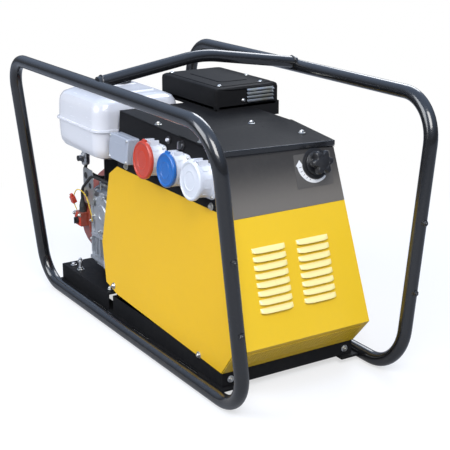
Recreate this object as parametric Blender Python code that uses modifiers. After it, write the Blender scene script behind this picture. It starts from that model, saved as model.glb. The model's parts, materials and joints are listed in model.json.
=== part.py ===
# Engine driven welder in a twin-loop tube frame.
# Metres, +Z up, +X towards the control end, +Y towards the exhaust side.
# The origin is on the ground, at the middle of the frame.
import math

import bmesh
import bpy
from mathutils import Matrix, Vector

gap = 0.0003            # between pieces that touch
sheet = 0.0015          # thickness of the housing's sheet steel

# carrying frame
frame_length = 0.990    # over the tubes
loop_height = 0.584     # between the tube centres
tube_radius = 0.015
foot_half_width = 0.1955   # middle of a loop's bottom tube
head_half_width = 0.260    # middle of a loop's top tube
front_bend = 0.095
rear_bend = 0.075
bar_radius = 0.0135
bar_rise = 0.050
bar_seat = 0.012         # bar above the loop tubes where it is welded on
bar_x = -0.005

# chassis
rail_width = 0.046
rail_thickness = 0.006
rail_rear_x = -0.445
rail_front_x = 0.360
slot_count = 3
slot_pitch = 0.215
slot_length = 0.084
slot_depth = 0.010
first_slot_x = -0.213
tray_rear_x = -0.150
tray_depth = 0.042
tray_sheet = 0.002
cross_rear_x = -0.440
cross_length = 0.270
cross_height = 0.040
cross_sheet = 0.003

# housing
split_z = 0.367         # seam between the control panel and the louvred panel
side_top_z = 0.382      # upper edge of the yellow side panels
crease_z = 0.110
strip_foot_z = 0.050
front_top_z = 0.480
front_top_x = 0.2955
front_slope = 0.287     # forward run for each metre down
crease_back = 0.0500    # how far the lower strip runs back under the crease
top_half_width = 0.145
side_slope = 0.077      # outward run for each metre down
foot_tuck = 0.008       # how far the lower flanges turn back in
cover_rear_x = -0.133
cover_rear_z = 0.514
cover_near_z = 0.502
cover_bend_x = 0.139
cover_bend_z = 0.508
cover_lip = 0.003
louvre_rows = 8
louvre_pitch = 0.0177
louvre_width = 0.080
louvre_gap = 0.0055
louvre_column_y = 0.055
louvre_low = 0.071

# exhaust cover
shield_low = Vector((-0.270, 0.040))
shield_high = Vector((-0.010, 0.215))
shield_height = 0.050

# engine
engine_foot = 0.020     # height of the rubber mounts
shaft_above_foot = 0.116
case_rear_x = -0.335
case_front_x = -0.170
case_near_y = -0.130
case_far_y = 0.070
case_height = 0.205
foot_thickness = 0.012
shaft_radius = 0.0125
shaft_clearance = 0.0010
fan_cover_radius = 0.134
fan_cover_depth = 0.062
flywheel_radius = 0.104
flywheel_width = 0.030
starter_radius = 0.092
starter_depth = 0.042
pulley_radius = 0.050
handle_travel = 0.110
cylinder_tilt = math.radians(25)
cylinder_length = 0.070
cylinder_width = 0.090
fin_count = 6
head_length = 0.046
head_half = 0.044
tank_low = Vector((-0.385, -0.195, 0.388))
tank_size = Vector((0.240, 0.225, 0.150))
tank_edge = 0.028
seam_height = 0.074
cap_radius = 0.030

# generator
stator_radius = 0.108
stator_bore = 0.082
air_gap = 0.0020
stator_rear_x = -0.100
stator_front_x = 0.150
adapter_wall = 0.008
shield_thickness = 0.012
fan_radius = 0.095
shelf_z = 0.318

# controls
dial_y = 0.091
dial_z = 0.451
knob_radius = 0.027
knob_length = 0.034
socket_x = (0.058, 0.160, 0.262)
socket_z = 0.440
flange_side = 0.072
flange_thickness = 0.007
barrel_radius = 0.033
barrel_length = 0.026
mouth_radius = 0.024
mouth_depth = 0.020
lid_radius = (0.042, 0.037, 0.041)
lid_thickness = 0.010
button_z = 0.4905

half_length = frame_length / 2 - tube_radius
loop_head_z = tube_radius + loop_height
rail_top = tube_radius + rail_thickness / 2
rail_outer = foot_half_width - tube_radius - gap
mount_base = rail_top + cross_height
foot_z = mount_base + engine_foot
shaft_z = foot_z + shaft_above_foot
tray_floor = rail_top + gap
tray_half_width = top_half_width + (front_top_z - strip_foot_z) * side_slope - foot_tuck - sheet - gap


def clear_scene():
    for item in list(bpy.data.objects):
        bpy.data.objects.remove(item, do_unlink=True)


clear_scene()
parts = bpy.data.collections.new("engine_driven_welder")
cutters = bpy.data.collections.new("cutters")
bpy.context.scene.collection.children.link(parts)
bpy.context.scene.collection.children.link(cutters)
finishes = {}


def finish(name, color, roughness, metallic=0.0):
    made = bpy.data.materials.new(name)
    made.use_nodes = True
    shader = made.node_tree.nodes["Principled BSDF"]
    shader.inputs["Base Color"].default_value = (*color, 1)
    shader.inputs["Roughness"].default_value = roughness
    shader.inputs["Metallic"].default_value = metallic
    finishes[name] = made


finish("frame_black", (0.012, 0.012, 0.014), 0.22)
finish("cover_black", (0.020, 0.020, 0.021), 0.45)
finish("panel_grey", (0.060, 0.055, 0.050), 0.35)
finish("side_yellow", (0.850, 0.520, 0.030), 0.30)
finish("front_yellow", (0.880, 0.600, 0.040), 0.30)
finish("tank_white", (0.780, 0.780, 0.820), 0.25)
finish("cast_aluminium", (0.420, 0.440, 0.470), 0.45, 0.8)
finish("fan_red", (0.300, 0.055, 0.030), 0.35)
finish("steel", (0.560, 0.570, 0.580), 0.30, 1.0)
finish("dark_iron", (0.080, 0.080, 0.085), 0.50, 0.6)
finish("rubber", (0.015, 0.015, 0.015), 0.80)
finish("black_plastic", (0.020, 0.020, 0.022), 0.40)
finish("grey_plastic", (0.420, 0.440, 0.500), 0.40)
finish("white_plastic", (0.780, 0.800, 0.840), 0.35)
finish("red_plastic", (0.520, 0.060, 0.020), 0.35)
finish("blue_plastic", (0.010, 0.100, 0.450), 0.35)
finish("copper", (0.720, 0.300, 0.160), 0.35, 0.9)


def keep(mesh_object, name, material):
    mesh_object.name = name
    mesh_object.data.name = name
    mesh_object.data.materials.clear()
    mesh_object.data.materials.append(finishes[material])
    for holder in list(mesh_object.users_collection):
        holder.objects.unlink(mesh_object)
    parts.objects.link(mesh_object)
    return mesh_object


def hide(mesh_object, name):
    mesh_object.name = name
    mesh_object.hide_render = True
    mesh_object.display_type = "WIRE"
    for holder in list(mesh_object.users_collection):
        holder.objects.unlink(mesh_object)
    cutters.objects.link(mesh_object)
    return mesh_object


def from_bmesh(build):
    mesh = bpy.data.meshes.new("shape")
    bmesh.ops.recalc_face_normals(build, faces=build.faces)
    build.to_mesh(mesh)
    build.free()
    made = bpy.data.objects.new("shape", mesh)
    bpy.context.scene.collection.objects.link(made)
    return made


def smooth(mesh_object, angle=40):
    mesh_object.data.shade_smooth()
    mesh_object.data.set_sharp_from_angle(angle=math.radians(angle))
    return mesh_object


def block(low, high, bevel=0.0, segments=2):
    low = Vector(low)
    high = Vector(high)
    build = bmesh.new()
    bmesh.ops.create_cube(build, size=1)
    bmesh.ops.scale(build, vec=high - low, verts=build.verts)
    made = from_bmesh(build)
    made.location = (low + high) / 2
    if bevel:
        rounded = made.modifiers.new("edges", "BEVEL")
        rounded.width = bevel
        rounded.segments = segments
    return made


def rod(start, end, radius, sides=24, end_radius=None):
    start = Vector(start)
    run = Vector(end) - start
    build = bmesh.new()
    bmesh.ops.create_cone(build, cap_ends=True, segments=sides, radius1=radius,
                          radius2=radius if end_radius is None else end_radius, depth=run.length)
    made = smooth(from_bmesh(build))
    made.matrix_world = Matrix.Translation(start + run / 2) @ run.to_track_quat("Z", "Y").to_matrix().to_4x4()
    return made


def turned(profile, place, steps=32):
    # profile runs from top to bottom down the outer side, as (radius, height) pairs
    build = bmesh.new()
    ring = [build.verts.new((radius, 0, height)) for radius, height in profile]
    for one, two in zip(ring, ring[1:]):
        build.edges.new((one, two))
    if profile[0][0] > 0:
        build.edges.new((ring[-1], ring[0]))
    mesh = bpy.data.meshes.new("profile")
    build.to_mesh(mesh)
    build.free()
    made = bpy.data.objects.new("turned", mesh)
    bpy.context.scene.collection.objects.link(made)
    spin = made.modifiers.new("turn", "SCREW")
    spin.steps = steps
    spin.render_steps = steps
    spin.use_merge_vertices = True
    spin.merge_threshold = 0.00002
    spin.use_smooth_shade = False
    made.matrix_world = place
    return made


def plate(outline, holes, thickness, place):
    # flat outline in the local XY plane, with the thickness below it
    curve = bpy.data.curves.new("plate", "CURVE")
    curve.dimensions = "2D"
    curve.fill_mode = "BOTH"
    curve.extrude = thickness / 2
    for loop in [outline, *holes]:
        spline = curve.splines.new("POLY")
        spline.points.add(len(loop) - 1)
        spline.use_cyclic_u = True
        for point, (x, y) in zip(spline.points, loop):
            point.co = (x, y, 0, 1)
    made = bpy.data.objects.new("plate", curve)
    bpy.context.scene.collection.objects.link(made)
    made.matrix_world = place @ Matrix.Translation((0, 0, -thickness / 2))
    return made


def as_mesh(curve_object):
    # a curve turned into a closed mesh, so that it can be cut or joined
    bpy.context.view_layer.update()
    graph = bpy.context.evaluated_depsgraph_get()
    mesh = bpy.data.meshes.new_from_object(curve_object.evaluated_get(graph))
    build = bmesh.new()
    build.from_mesh(mesh)
    bmesh.ops.remove_doubles(build, verts=build.verts, dist=0.00001)
    bmesh.ops.recalc_face_normals(build, faces=build.faces)
    if build.calc_volume(signed=True) < 0:
        bmesh.ops.reverse_faces(build, faces=build.faces)
    build.to_mesh(mesh)
    build.free()
    made = bpy.data.objects.new("mesh", mesh)
    made.matrix_world = curve_object.matrix_world.copy()
    bpy.context.scene.collection.objects.link(made)
    bpy.data.objects.remove(curve_object, do_unlink=True)
    return made


def tube(points, radius, closed=False, resolution=4):
    curve = bpy.data.curves.new("tube", "CURVE")
    curve.dimensions = "3D"
    curve.bevel_depth = radius
    curve.bevel_resolution = resolution
    curve.use_fill_caps = not closed
    curve.twist_mode = "MINIMUM"
    spline = curve.splines.new("POLY")
    spline.points.add(len(points) - 1)
    spline.use_cyclic_u = closed
    for point, place in zip(spline.points, points):
        point.co = (*place, 1)
    made = bpy.data.objects.new("tube", curve)
    bpy.context.scene.collection.objects.link(made)
    return smooth(as_mesh(made))


def folded(points, faces, thickness):
    # sheet metal: flat faces that share their folded edges, thickened to the inside
    mesh = bpy.data.meshes.new("folded")
    mesh.from_pydata([tuple(point) for point in points], [], faces)
    made = bpy.data.objects.new("folded", mesh)
    bpy.context.scene.collection.objects.link(made)
    wall = made.modifiers.new("wall", "SOLIDIFY")
    wall.thickness = thickness
    wall.offset = -1
    wall.use_even_offset = True
    return made


def cut(target, tool, name):
    hide(tool, name)
    hole = target.modifiers.new(name, "BOOLEAN")
    hole.operation = "DIFFERENCE"
    hole.solver = "EXACT"
    hole.object = tool


def join(target, other, name):
    hide(other, name)
    weld = target.modifiers.new(name, "BOOLEAN")
    weld.operation = "UNION"
    weld.solver = "EXACT"
    weld.object = other


def basis(origin, x_axis, y_axis):
    x_axis = Vector(x_axis).normalized()
    z_axis = x_axis.cross(Vector(y_axis)).normalized()
    y_axis = z_axis.cross(x_axis)
    turn = Matrix((x_axis, y_axis, z_axis)).transposed().to_4x4()
    return Matrix.Translation(Vector(origin)) @ turn


def along_x(x, y=0.0, z=0.0):
    # local Z of a turned piece points along +X
    return basis((x, y, z), (0, 1, 0), (0, 0, 1))


def circle(x, y, radius, sides=20):
    return [(x + radius * math.cos(2 * math.pi * k / sides), y + radius * math.sin(2 * math.pi * k / sides))
            for k in range(sides)]


def rectangle(x, y, width, height):
    return [(x - width / 2, y - height / 2), (x + width / 2, y - height / 2),
            (x + width / 2, y + height / 2), (x - width / 2, y + height / 2)]


def rounded_path(corners, radii, steps=7, closed=False):
    # straight runs joined by true arcs
    path = []
    count = len(corners)
    for k, corner in enumerate(corners):
        corner = Vector(corner)
        if not closed and k in (0, count - 1):
            path.append(corner)
            continue
        back = (Vector(corners[k - 1]) - corner).normalized()
        ahead = (Vector(corners[(k + 1) % count]) - corner).normalized()
        half = back.angle(ahead) / 2
        reach = radii[k] / math.tan(half)
        centre = corner + (back + ahead).normalized() * (radii[k] / math.sin(half))
        first = corner + back * reach - centre
        last = corner + ahead * reach - centre
        sweep = first.angle(last)
        for step in range(steps + 1):
            share = step / steps
            path.append(centre + (first * math.sin((1 - share) * sweep)
                                  + last * math.sin(share * sweep)) / math.sin(sweep))
    return path


def side_y(z):
    # outside of the housing's side at height z
    return top_half_width + (front_top_z - z) * side_slope


def front_x(z):
    # outside of the housing's front at height z
    return front_top_x + (front_top_z - z) * front_slope


# the frame: two closed loops that lean out towards the top, and a lifting bar

def loop_corners(side):
    low = (side * foot_half_width, tube_radius)
    high = (side * head_half_width, loop_head_z)
    return [(-half_length, *low), (half_length, *low), (half_length, *high), (-half_length, *high)]


bends = (rear_bend, front_bend, front_bend, rear_bend)
for side, name in ((-1, "frame_loop_right"), (1, "frame_loop_left")):
    keep(tube(rounded_path(loop_corners(side), bends, closed=True), tube_radius, closed=True), name, "frame_black")

bar_crest = loop_head_z + bar_rise
bar_points = rounded_path([(bar_x, -head_half_width, loop_head_z + bar_seat), (bar_x, 0, bar_crest),
                           (bar_x, head_half_width, loop_head_z + bar_seat)], (0, 0.30, 0), steps=5)
bar = tube(bar_points, bar_radius)
for side, name in ((-1, "right"), (1, "left")):
    reach = 0.05
    saddle = rod((bar_x - reach, side * head_half_width, loop_head_z),
                 (bar_x + reach, side * head_half_width, loop_head_z), tube_radius + gap, sides=32)
    cut(bar, saddle, "bar_saddle_" + name)
    spare = block((bar_x - reach, side * head_half_width + (0 if side > 0 else -reach), loop_head_z - reach),
                  (bar_x + reach, side * head_half_width + (reach if side > 0 else 0), loop_head_z + reach))
    cut(bar, spare, "bar_end_" + name)
keep(bar, "lifting_bar", "frame_black")

# chassis: slotted rails beside the bottom tubes, a tray for the generator and a bridge for the engine

def rail_outline(side):
    inner = rail_outer - rail_width
    outline = [(rail_rear_x, inner), (rail_front_x, inner), (rail_front_x, rail_outer)]
    for k in reversed(range(slot_count)):
        start = first_slot_x + k * slot_pitch - slot_length / 2
        outline += [(start + slot_length, rail_outer), (start + slot_length, rail_outer - slot_depth),
                    (start, rail_outer - slot_depth), (start, rail_outer)]
    outline.append((rail_rear_x, rail_outer))
    return [(x, side * y) for x, y in outline]


for side, name in ((-1, "base_rail_right"), (1, "base_rail_left")):
    keep(as_mesh(plate(rail_outline(side), [], rail_thickness, Matrix.Translation((0, 0, rail_top)))),
         name, "cover_black")

tray_front_x = front_x(crease_z) - crease_back - sheet - gap
tray_top = tray_floor + tray_depth
tray = block((tray_rear_x, -tray_half_width, tray_floor), (tray_front_x, tray_half_width, tray_top))
hollow = block((tray_rear_x + tray_sheet, -tray_half_width + tray_sheet, tray_floor + tray_sheet),
               (tray_front_x - tray_sheet, tray_half_width - tray_sheet, tray_top + tray_depth))
cut(tray, hollow, "tray_hollow")
keep(tray, "base_tray", "cover_black")

cross_half_width = rail_outer - slot_depth - gap
cross_front_x = cross_rear_x + cross_length
bridge_points = []
for x in (cross_rear_x, cross_front_x):
    bridge_points += [(x, -cross_half_width, rail_top + gap), (x, -cross_half_width, mount_base),
                      (x, cross_half_width, mount_base), (x, cross_half_width, rail_top + gap)]
keep(folded(bridge_points, [(0, 4, 5, 1), (1, 5, 6, 2), (2, 6, 7, 3)], cross_sheet),
     "engine_bridge", "cover_black")

mount_half_span = 0.075
mount_bar = 0.006
for end, x in (("rear", case_rear_x + 0.022), ("front", case_front_x - 0.022)):
    bar_low = engine_foot - mount_bar
    strap = block((x - 0.011, -mount_half_span, mount_base + bar_low), (x + 0.011, mount_half_span, foot_z - gap))
    for side, name in ((-1, "right"), (1, "left")):
        profile = [(0, bar_low + 0.003), (0.014, bar_low + 0.003), (0.014, bar_low - 0.002),
                   (0.010, engine_foot / 2 - 0.002), (0.014, 0.003), (0.014, gap), (0, gap)]
        bobbin = turned(profile, Matrix.Translation((x, side * mount_half_span, mount_base)), steps=20)
        join(strap, bobbin, "bobbin_%s_%s" % (end, name))
    keep(strap, "engine_mount_" + end, "rubber")

# engine: crankcase, inclined finned cylinder and head

case_mid_x = (case_rear_x + case_front_x) / 2
case_top = foot_z + case_height
case = block((case_rear_x, case_near_y, foot_z + foot_thickness / 2), (case_front_x, case_far_y, case_top), 0.022)
join(case, block((case_rear_x, case_near_y + 0.012, foot_z), (case_front_x, case_far_y + 0.010,
                 foot_z + foot_thickness)), "case_foot")
join(case, rod((case_rear_x - 0.004, 0, shaft_z), (case_rear_x + 0.05, 0, shaft_z), 0.045), "case_rear_boss")
join(case, rod((case_front_x - 0.05, 0, shaft_z), (case_front_x + 0.004, 0, shaft_z), 0.055), "case_front_boss")
bore_reach = 0.02
cut(case, rod((case_rear_x - bore_reach, 0, shaft_z), (case_front_x + bore_reach, 0, shaft_z),
              shaft_radius + shaft_clearance), "case_bore")
keep(case, "crankcase", "cast_aluminium")

cylinder_axis = Vector((0, math.cos(cylinder_tilt), math.sin(cylinder_tilt)))
cylinder_root = Vector((case_mid_x, case_far_y + gap, foot_z + 0.118))
cylinder_place = basis(cylinder_root, cylinder_axis, (0, -math.sin(cylinder_tilt), math.cos(cylinder_tilt)))
root_clearance = 0.5 * cylinder_width * math.tan(cylinder_tilt)


def finned_side(length, half, root_half, fins):
    # one edge of a comb profile: square fins that stand out from a core
    pitch = length / fins
    edge = []
    for k in range(fins):
        start = root_clearance + k * pitch
        if k:
            edge.append((start, root_half))
        edge += [(start + pitch * 0.5, root_half), (start + pitch * 0.5, half), (start + pitch, half)]
    return edge


core_half = cylinder_width / 2 - 0.014
root_skew = core_half * math.tan(cylinder_tilt)
upper_edge = finned_side(cylinder_length, cylinder_width / 2, core_half, fin_count)
comb = [(root_skew, core_half), *upper_edge, *((x, -y) for x, y in reversed(upper_edge)), (-root_skew, -core_half)]
keep(as_mesh(plate(comb, [], cylinder_width, cylinder_place @ Matrix.Translation((0, 0, cylinder_width / 2)))),
     "cylinder", "cast_aluminium")

head_start = root_clearance + cylinder_length + gap
head_place = cylinder_place @ Matrix.Translation((head_start, 0, 0))
head = block((0, -head_half, -head_half), (head_length * 0.6, head_half, head_half), 0.004)
head.matrix_world = head_place @ head.matrix_basis
rocker_half = head_half - 0.012
rocker_cover = block((head_length * 0.4, -rocker_half, -rocker_half), (head_length, rocker_half, rocker_half), 0.008)
rocker_cover.matrix_world = head_place @ rocker_cover.matrix_basis
join(head, rocker_cover, "rocker_cover")
keep(head, "cylinder_head", "cast_aluminium")

plug_start = head_place @ Vector((head_length * 0.3, head_half + gap, -0.020))
plug_end = head_place @ Vector((head_length * 0.3, head_half + 0.040, -0.020))
keep(rod(plug_start, plug_end, 0.010, 16, 0.008), "spark_plug_cap", "rubber")

# engine cooling side: flywheel, red fan cover and recoil starter

fan_rear_x = case_rear_x - gap
fan_front_x = fan_rear_x - fan_cover_depth
wall = 0.003
cover_profile = [(fan_cover_radius, fan_cover_depth), (fan_cover_radius, 0.012), (fan_cover_radius - 0.012, 0),
                 (starter_radius - 0.010, 0), (starter_radius - 0.010, wall),
                 (fan_cover_radius - 0.012 - wall, wall), (fan_cover_radius - wall, 0.012 + wall),
                 (fan_cover_radius - wall, fan_cover_depth)]
fan_cover = turned(cover_profile, along_x(fan_front_x, 0, shaft_z), steps=40)
switch_x = fan_rear_x - fan_cover_depth * 0.45
switch_y = -fan_cover_radius + 0.002
join(fan_cover, block((switch_x - 0.018, switch_y - 0.022, shaft_z - 0.014), (switch_x + 0.018, switch_y,
                      shaft_z + 0.020)), "switch_box")
keep(fan_cover, "fan_cover", "fan_red")

starter_x = fan_front_x - gap - starter_depth
pulley_height = 0.014
hub_radius = 0.020
starter_profile = [(0, pulley_height - gap), (hub_radius, pulley_height - gap), (hub_radius, wall),
                   (starter_radius - 0.012 - wall / 2, wall), (starter_radius - wall, 0.010 + wall / 2),
                   (starter_radius - wall, starter_depth), (starter_radius, starter_depth),
                   (starter_radius, 0.010), (starter_radius - 0.012, 0), (hub_radius, 0),
                   (hub_radius, -0.004), (0, -0.004)]
starter = turned(starter_profile, along_x(starter_x, 0, shaft_z), steps=36)
rope_x = starter_x + starter_depth * 0.55
rope_z = shaft_z + pulley_radius + 0.004
rope_radius = 0.0025
cut(starter, rod((rope_x, -0.06, rope_z), (rope_x, -starter_radius - 0.02, rope_z), rope_radius + 0.0006, 16),
    "rope_hole")
keep(starter, "starter_housing", "black_plastic")

pulley_profile = [(0, 0.018), (pulley_radius, 0.018), (pulley_radius, 0.014), (pulley_radius - 0.008, 0.009),
                  (pulley_radius, 0.004), (pulley_radius, 0), (0, 0)]
keep(turned(pulley_profile, along_x(starter_x + pulley_height, 0, shaft_z), steps=24), "starter_pulley", "black_plastic")
rope_exit = -math.sqrt(starter_radius ** 2 - (rope_z - shaft_z) ** 2)
grip_y = rope_exit - 0.014
grip = rod((rope_x, grip_y, rope_z), (rope_x, grip_y - 0.016, rope_z), 0.010, 16, 0.008)
join(grip, rod((rope_x, grip_y - 0.014, rope_z - 0.036), (rope_x, grip_y - 0.014, rope_z + 0.036), 0.0075, 16),
     "grip_bar")
join(grip, rod((rope_x, grip_y - 0.004, rope_z), (rope_x, rope_exit + handle_travel + 0.010, rope_z),
               rope_radius, 10), "rope_length")
keep(grip, "starter_handle", "rubber")

flywheel_x = fan_rear_x - 0.008 - flywheel_width
wheel_profile = [(0, flywheel_width), (flywheel_radius - 0.03, flywheel_width), (flywheel_radius, 0.012),
                 (flywheel_radius, 0), (0, 0)]
keep(turned(wheel_profile, along_x(flywheel_x, 0, shaft_z), steps=36), "flywheel", "dark_iron")

# generator: adapter, stator, rotor, bearing shield and fan, all on the engine's axis

stator = turned([(stator_radius, stator_front_x - stator_rear_x), (stator_radius, 0), (stator_bore, 0),
                 (stator_bore, stator_front_x - stator_rear_x)], along_x(stator_rear_x, 0, shaft_z), steps=40)
join(stator, block((stator_rear_x + 0.02, -0.070, tray_floor + tray_sheet + gap),
                   (stator_front_x - 0.02, 0.070, shaft_z - stator_radius + 0.022)), "stator_foot")
cut(stator, rod((stator_rear_x - 0.01, 0, shaft_z), (stator_front_x + 0.01, 0, shaft_z), stator_bore, 40),
    "stator_clear")
end_shield = turned([(stator_radius, shield_thickness), (stator_radius, 0), (shaft_radius + shaft_clearance, 0),
                     (shaft_radius + shaft_clearance, shield_thickness)],
                    along_x(stator_front_x - 0.002, 0, shaft_z), steps=40)
join(stator, end_shield, "end_shield")
keep(stator, "stator", "dark_iron")

adapter_rear = case_front_x + 0.004 + gap
adapter_length = stator_rear_x - gap - adapter_rear
adapter_profile = [(stator_radius, adapter_length), (stator_radius - 0.022, 0), (0.040, 0),
                   (0.040, adapter_wall), (stator_radius - 0.030, adapter_wall),
                   (stator_radius - adapter_wall, adapter_length)]
keep(turned(adapter_profile, along_x(adapter_rear, 0, shaft_z), steps=36), "generator_adapter", "cast_aluminium")

rotor_start = stator_rear_x + 0.012
rotor_length = stator_front_x - stator_rear_x - 0.024
rotor_radius = stator_bore - air_gap
keep(turned([(rotor_radius, rotor_length), (rotor_radius, 0), (shaft_radius + gap, 0),
             (shaft_radius + gap, rotor_length)], along_x(rotor_start, 0, shaft_z), steps=32),
     "generator_rotor", "copper")
fan_x = stator_front_x + shield_thickness + 0.006
shaft_start = flywheel_x + flywheel_width + gap
shaft = rod((shaft_start, 0, shaft_z), (fan_x + 0.026, 0, shaft_z), shaft_radius, 20)
fan_profile = [(fan_radius, 0.006), (fan_radius, 0), (shaft_radius - 0.003, 0), (shaft_radius - 0.003, 0.020),
               (0.030, 0.020), (0.034, 0.006)]
join(shaft, turned(fan_profile, along_x(fan_x, 0, shaft_z), steps=32), "cooling_fan")
keep(shaft, "drive_shaft", "steel")

# fuel tank, its cap and its bracket

tank_high = tank_low + tank_size
tank = block(tank_low, tank_high, tank_edge, 3)
rim = 0.005
join(tank, block(tank_low + Vector((-rim, -rim, seam_height)), Vector((tank_high.x + rim, tank_high.y + rim,
                 tank_low.z + seam_height + 0.005)), 0.0), "tank_seam")
cap_spot = Vector((tank_low.x + 0.060, tank_low.y + 0.150, tank_high.z))
join(tank, rod(cap_spot - Vector((0, 0, 0.01)), cap_spot + Vector((0, 0, 0.008)), cap_radius - 0.006, 24),
     "tank_neck")
valve_x = tank_low.x + 0.040
valve_y = tank_low.y + 0.060
valve_z = tank_low.z - 0.030
join(tank, rod((valve_x, valve_y, tank_low.z - 0.050), (valve_x, valve_y, tank_low.z + 0.004), 0.011, 20),
     "fuel_valve")
join(tank, rod((valve_x, valve_y, valve_z), (valve_x, valve_y - 0.018, valve_z), 0.008, 16), "valve_stub")
keep(tank, "fuel_tank", "tank_white")
cap_profile = [(0, 0.024), (cap_radius - 0.003, 0.024), (cap_radius, 0.021), (cap_radius, 0.004),
               (cap_radius - 0.005, 0.002), (cap_radius - 0.005, 0.0095), (0, 0.0095)]
cap = turned(cap_profile, Matrix.Translation(cap_spot), steps=24)
keep(cap, "fuel_cap", "black_plastic")

leg_x = (case_rear_x + 0.020, case_front_x - 0.020)
bracket_points = []
for y in (-0.100, 0.000):
    bracket_points += [(leg_x[0], y, case_top + gap), (leg_x[0], y, tank_low.z - gap),
                       (leg_x[1], y, tank_low.z - gap), (leg_x[1], y, case_top + gap)]
keep(folded(bracket_points, [(1, 5, 4, 0), (2, 6, 5, 1), (3, 7, 6, 2)], 0.003), "tank_bracket", "dark_iron")

# intake and exhaust

cleaner_low = Vector((case_rear_x - 0.070, tank_high.y + 0.055, shaft_z + fan_cover_radius - 0.004))
keep(block(cleaner_low, cleaner_low + Vector((0.112, 0.112, 0.122)), 0.016), "air_cleaner", "black_plastic")
cylinder_rear_x = case_mid_x - cylinder_width / 2
carb_y = case_far_y + 0.068
carb_high_z = cleaner_low.z - gap
carb = block((case_rear_x - 0.012, carb_y - 0.022, carb_high_z - 0.055),
             (cylinder_rear_x - gap, carb_y + 0.022, carb_high_z), 0.003)
keep(carb, "carburettor", "cast_aluminium")

pipe_start = head_place @ Vector((head_length * 0.35, head_half + gap, 0.018))
pipe_lift = head_place @ Vector((head_length * 0.35, head_half + 0.030, 0.018))
muffler_low = Vector((case_mid_x - 0.006, 0.075, side_top_z + 0.006))
muffler_high = Vector((cover_rear_x - 0.003, 0.195, muffler_low.z + 0.088))
muffler = block(muffler_low, muffler_high, 0.018)
join(muffler, tube(rounded_path([pipe_start, pipe_lift, (pipe_lift.x, pipe_lift.y, muffler_low.z + 0.02)],
                                (0, 0.02, 0), steps=4), 0.011), "exhaust_pipe")
keep(muffler, "muffler", "dark_iron")

# engine controls

def lever(pivot, axis, reach, name, material, width=0.010, thickness=0.003):
    # flat lever: a round boss with an arm that runs along the reach
    pivot = Vector(pivot)
    axis = Vector(axis).normalized()
    reach = Vector(reach)
    place = basis(pivot, reach, axis.cross(reach))
    length = reach.length
    outline = circle(0, 0, width * 0.8, 16)
    arm = plate(outline, [], thickness, place @ Matrix.Translation((0, 0, thickness)))
    bar = plate(rectangle(length / 2, 0, length, width * 0.7), [], thickness,
                place @ Matrix.Translation((0, 0, thickness)))
    tip = plate(circle(length, 0, width * 0.55, 14), [], thickness, place @ Matrix.Translation((0, 0, thickness)))
    made = as_mesh(arm)
    join(made, as_mesh(bar), name + "_arm")
    join(made, as_mesh(tip), name + "_tip")
    return keep(made, name, material)


choke_pivot = (case_rear_x - 0.012 - gap, carb_y, carb_high_z - 0.016)
lever(choke_pivot, (-1, 0, 0), (0, 0.030, -0.010), "choke_lever", "black_plastic")
throttle_pivot = (case_mid_x - 0.020, case_far_y - 0.024, case_top + gap)
lever(throttle_pivot, (0, 0, 1), (0.010, 0.046, 0), "throttle_lever", "steel")
valve_pivot = (valve_x, valve_y - 0.018 - gap, valve_z)
lever(valve_pivot, (0, -1, 0), (0.026, 0, 0), "fuel_lever", "black_plastic", width=0.009)

switch_face = switch_y - 0.022
switch_knob = rod((switch_x, switch_face - gap, shaft_z), (switch_x, switch_face - 0.006, shaft_z), 0.009, 20)
join(switch_knob, block((switch_x - 0.002, switch_face - 0.011, shaft_z - 0.008),
                        (switch_x + 0.002, switch_face - 0.005, shaft_z + 0.008)), "switch_grip")
keep(switch_knob, "engine_switch", "black_plastic")

oil_cap_x = case_front_x - 0.055
oil_cap_z = foot_z + 0.036
oil_cap = rod((oil_cap_x, case_near_y - gap, oil_cap_z), (oil_cap_x, case_near_y - 0.012, oil_cap_z), 0.013, 12)
join(oil_cap, block((oil_cap_x - 0.0025, case_near_y - 0.022, oil_cap_z - 0.010),
                    (oil_cap_x + 0.0025, case_near_y - 0.011, oil_cap_z + 0.010)), "oil_cap_tab")
keep(oil_cap, "oil_cap", "grey_plastic")

bulkhead_x = cover_rear_x + 0.006
cable_radius = 0.004
cable_y = case_near_y - 0.0095
cable_route = rounded_path([(switch_x, cable_y, shaft_z + 0.020 + gap),
                            (switch_x, cable_y, shaft_z + 0.080),
                            (switch_x + 0.060, cable_y, shaft_z + 0.126),
                            (bulkhead_x - 0.035, cable_y + 0.034, shaft_z + 0.112),
                            (bulkhead_x - sheet - gap, cable_y + 0.034, shaft_z + 0.112)],
                           (0, 0.030, 0.030, 0.030, 0), steps=5)
cable = tube(cable_route, cable_radius, resolution=2)
keep(cable, "engine_cable", "rubber")

# housing: bulkhead, shelf and what stands on it

def inner_half(z):
    # inside of the side panels at height z
    return side_y(z) - sheet * 1.01 - gap


bulkhead_foot = tray_top + gap
bulkhead_head = cover_near_z - sheet - 0.004
bulkhead_place = basis((bulkhead_x, 0, 0), (0, 1, 0), (0, 0, 1))
bulkhead_outline = [(-tray_half_width, bulkhead_foot), (tray_half_width, bulkhead_foot),
                    (inner_half(bulkhead_head), bulkhead_head), (-inner_half(bulkhead_head), bulkhead_head)]
keep(as_mesh(plate(bulkhead_outline, [circle(0, shaft_z, stator_radius, 40)], sheet, bulkhead_place)),
     "bulkhead", "cover_black")

shelf_thickness = 0.002
shelf_front = front_x(shelf_z) - sheet * 1.2 - gap
shelf_rear = bulkhead_x + gap
keep(block((shelf_rear, -inner_half(shelf_z), shelf_z - shelf_thickness),
           (shelf_front, inner_half(shelf_z), shelf_z)), "control_shelf", "cover_black")

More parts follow.
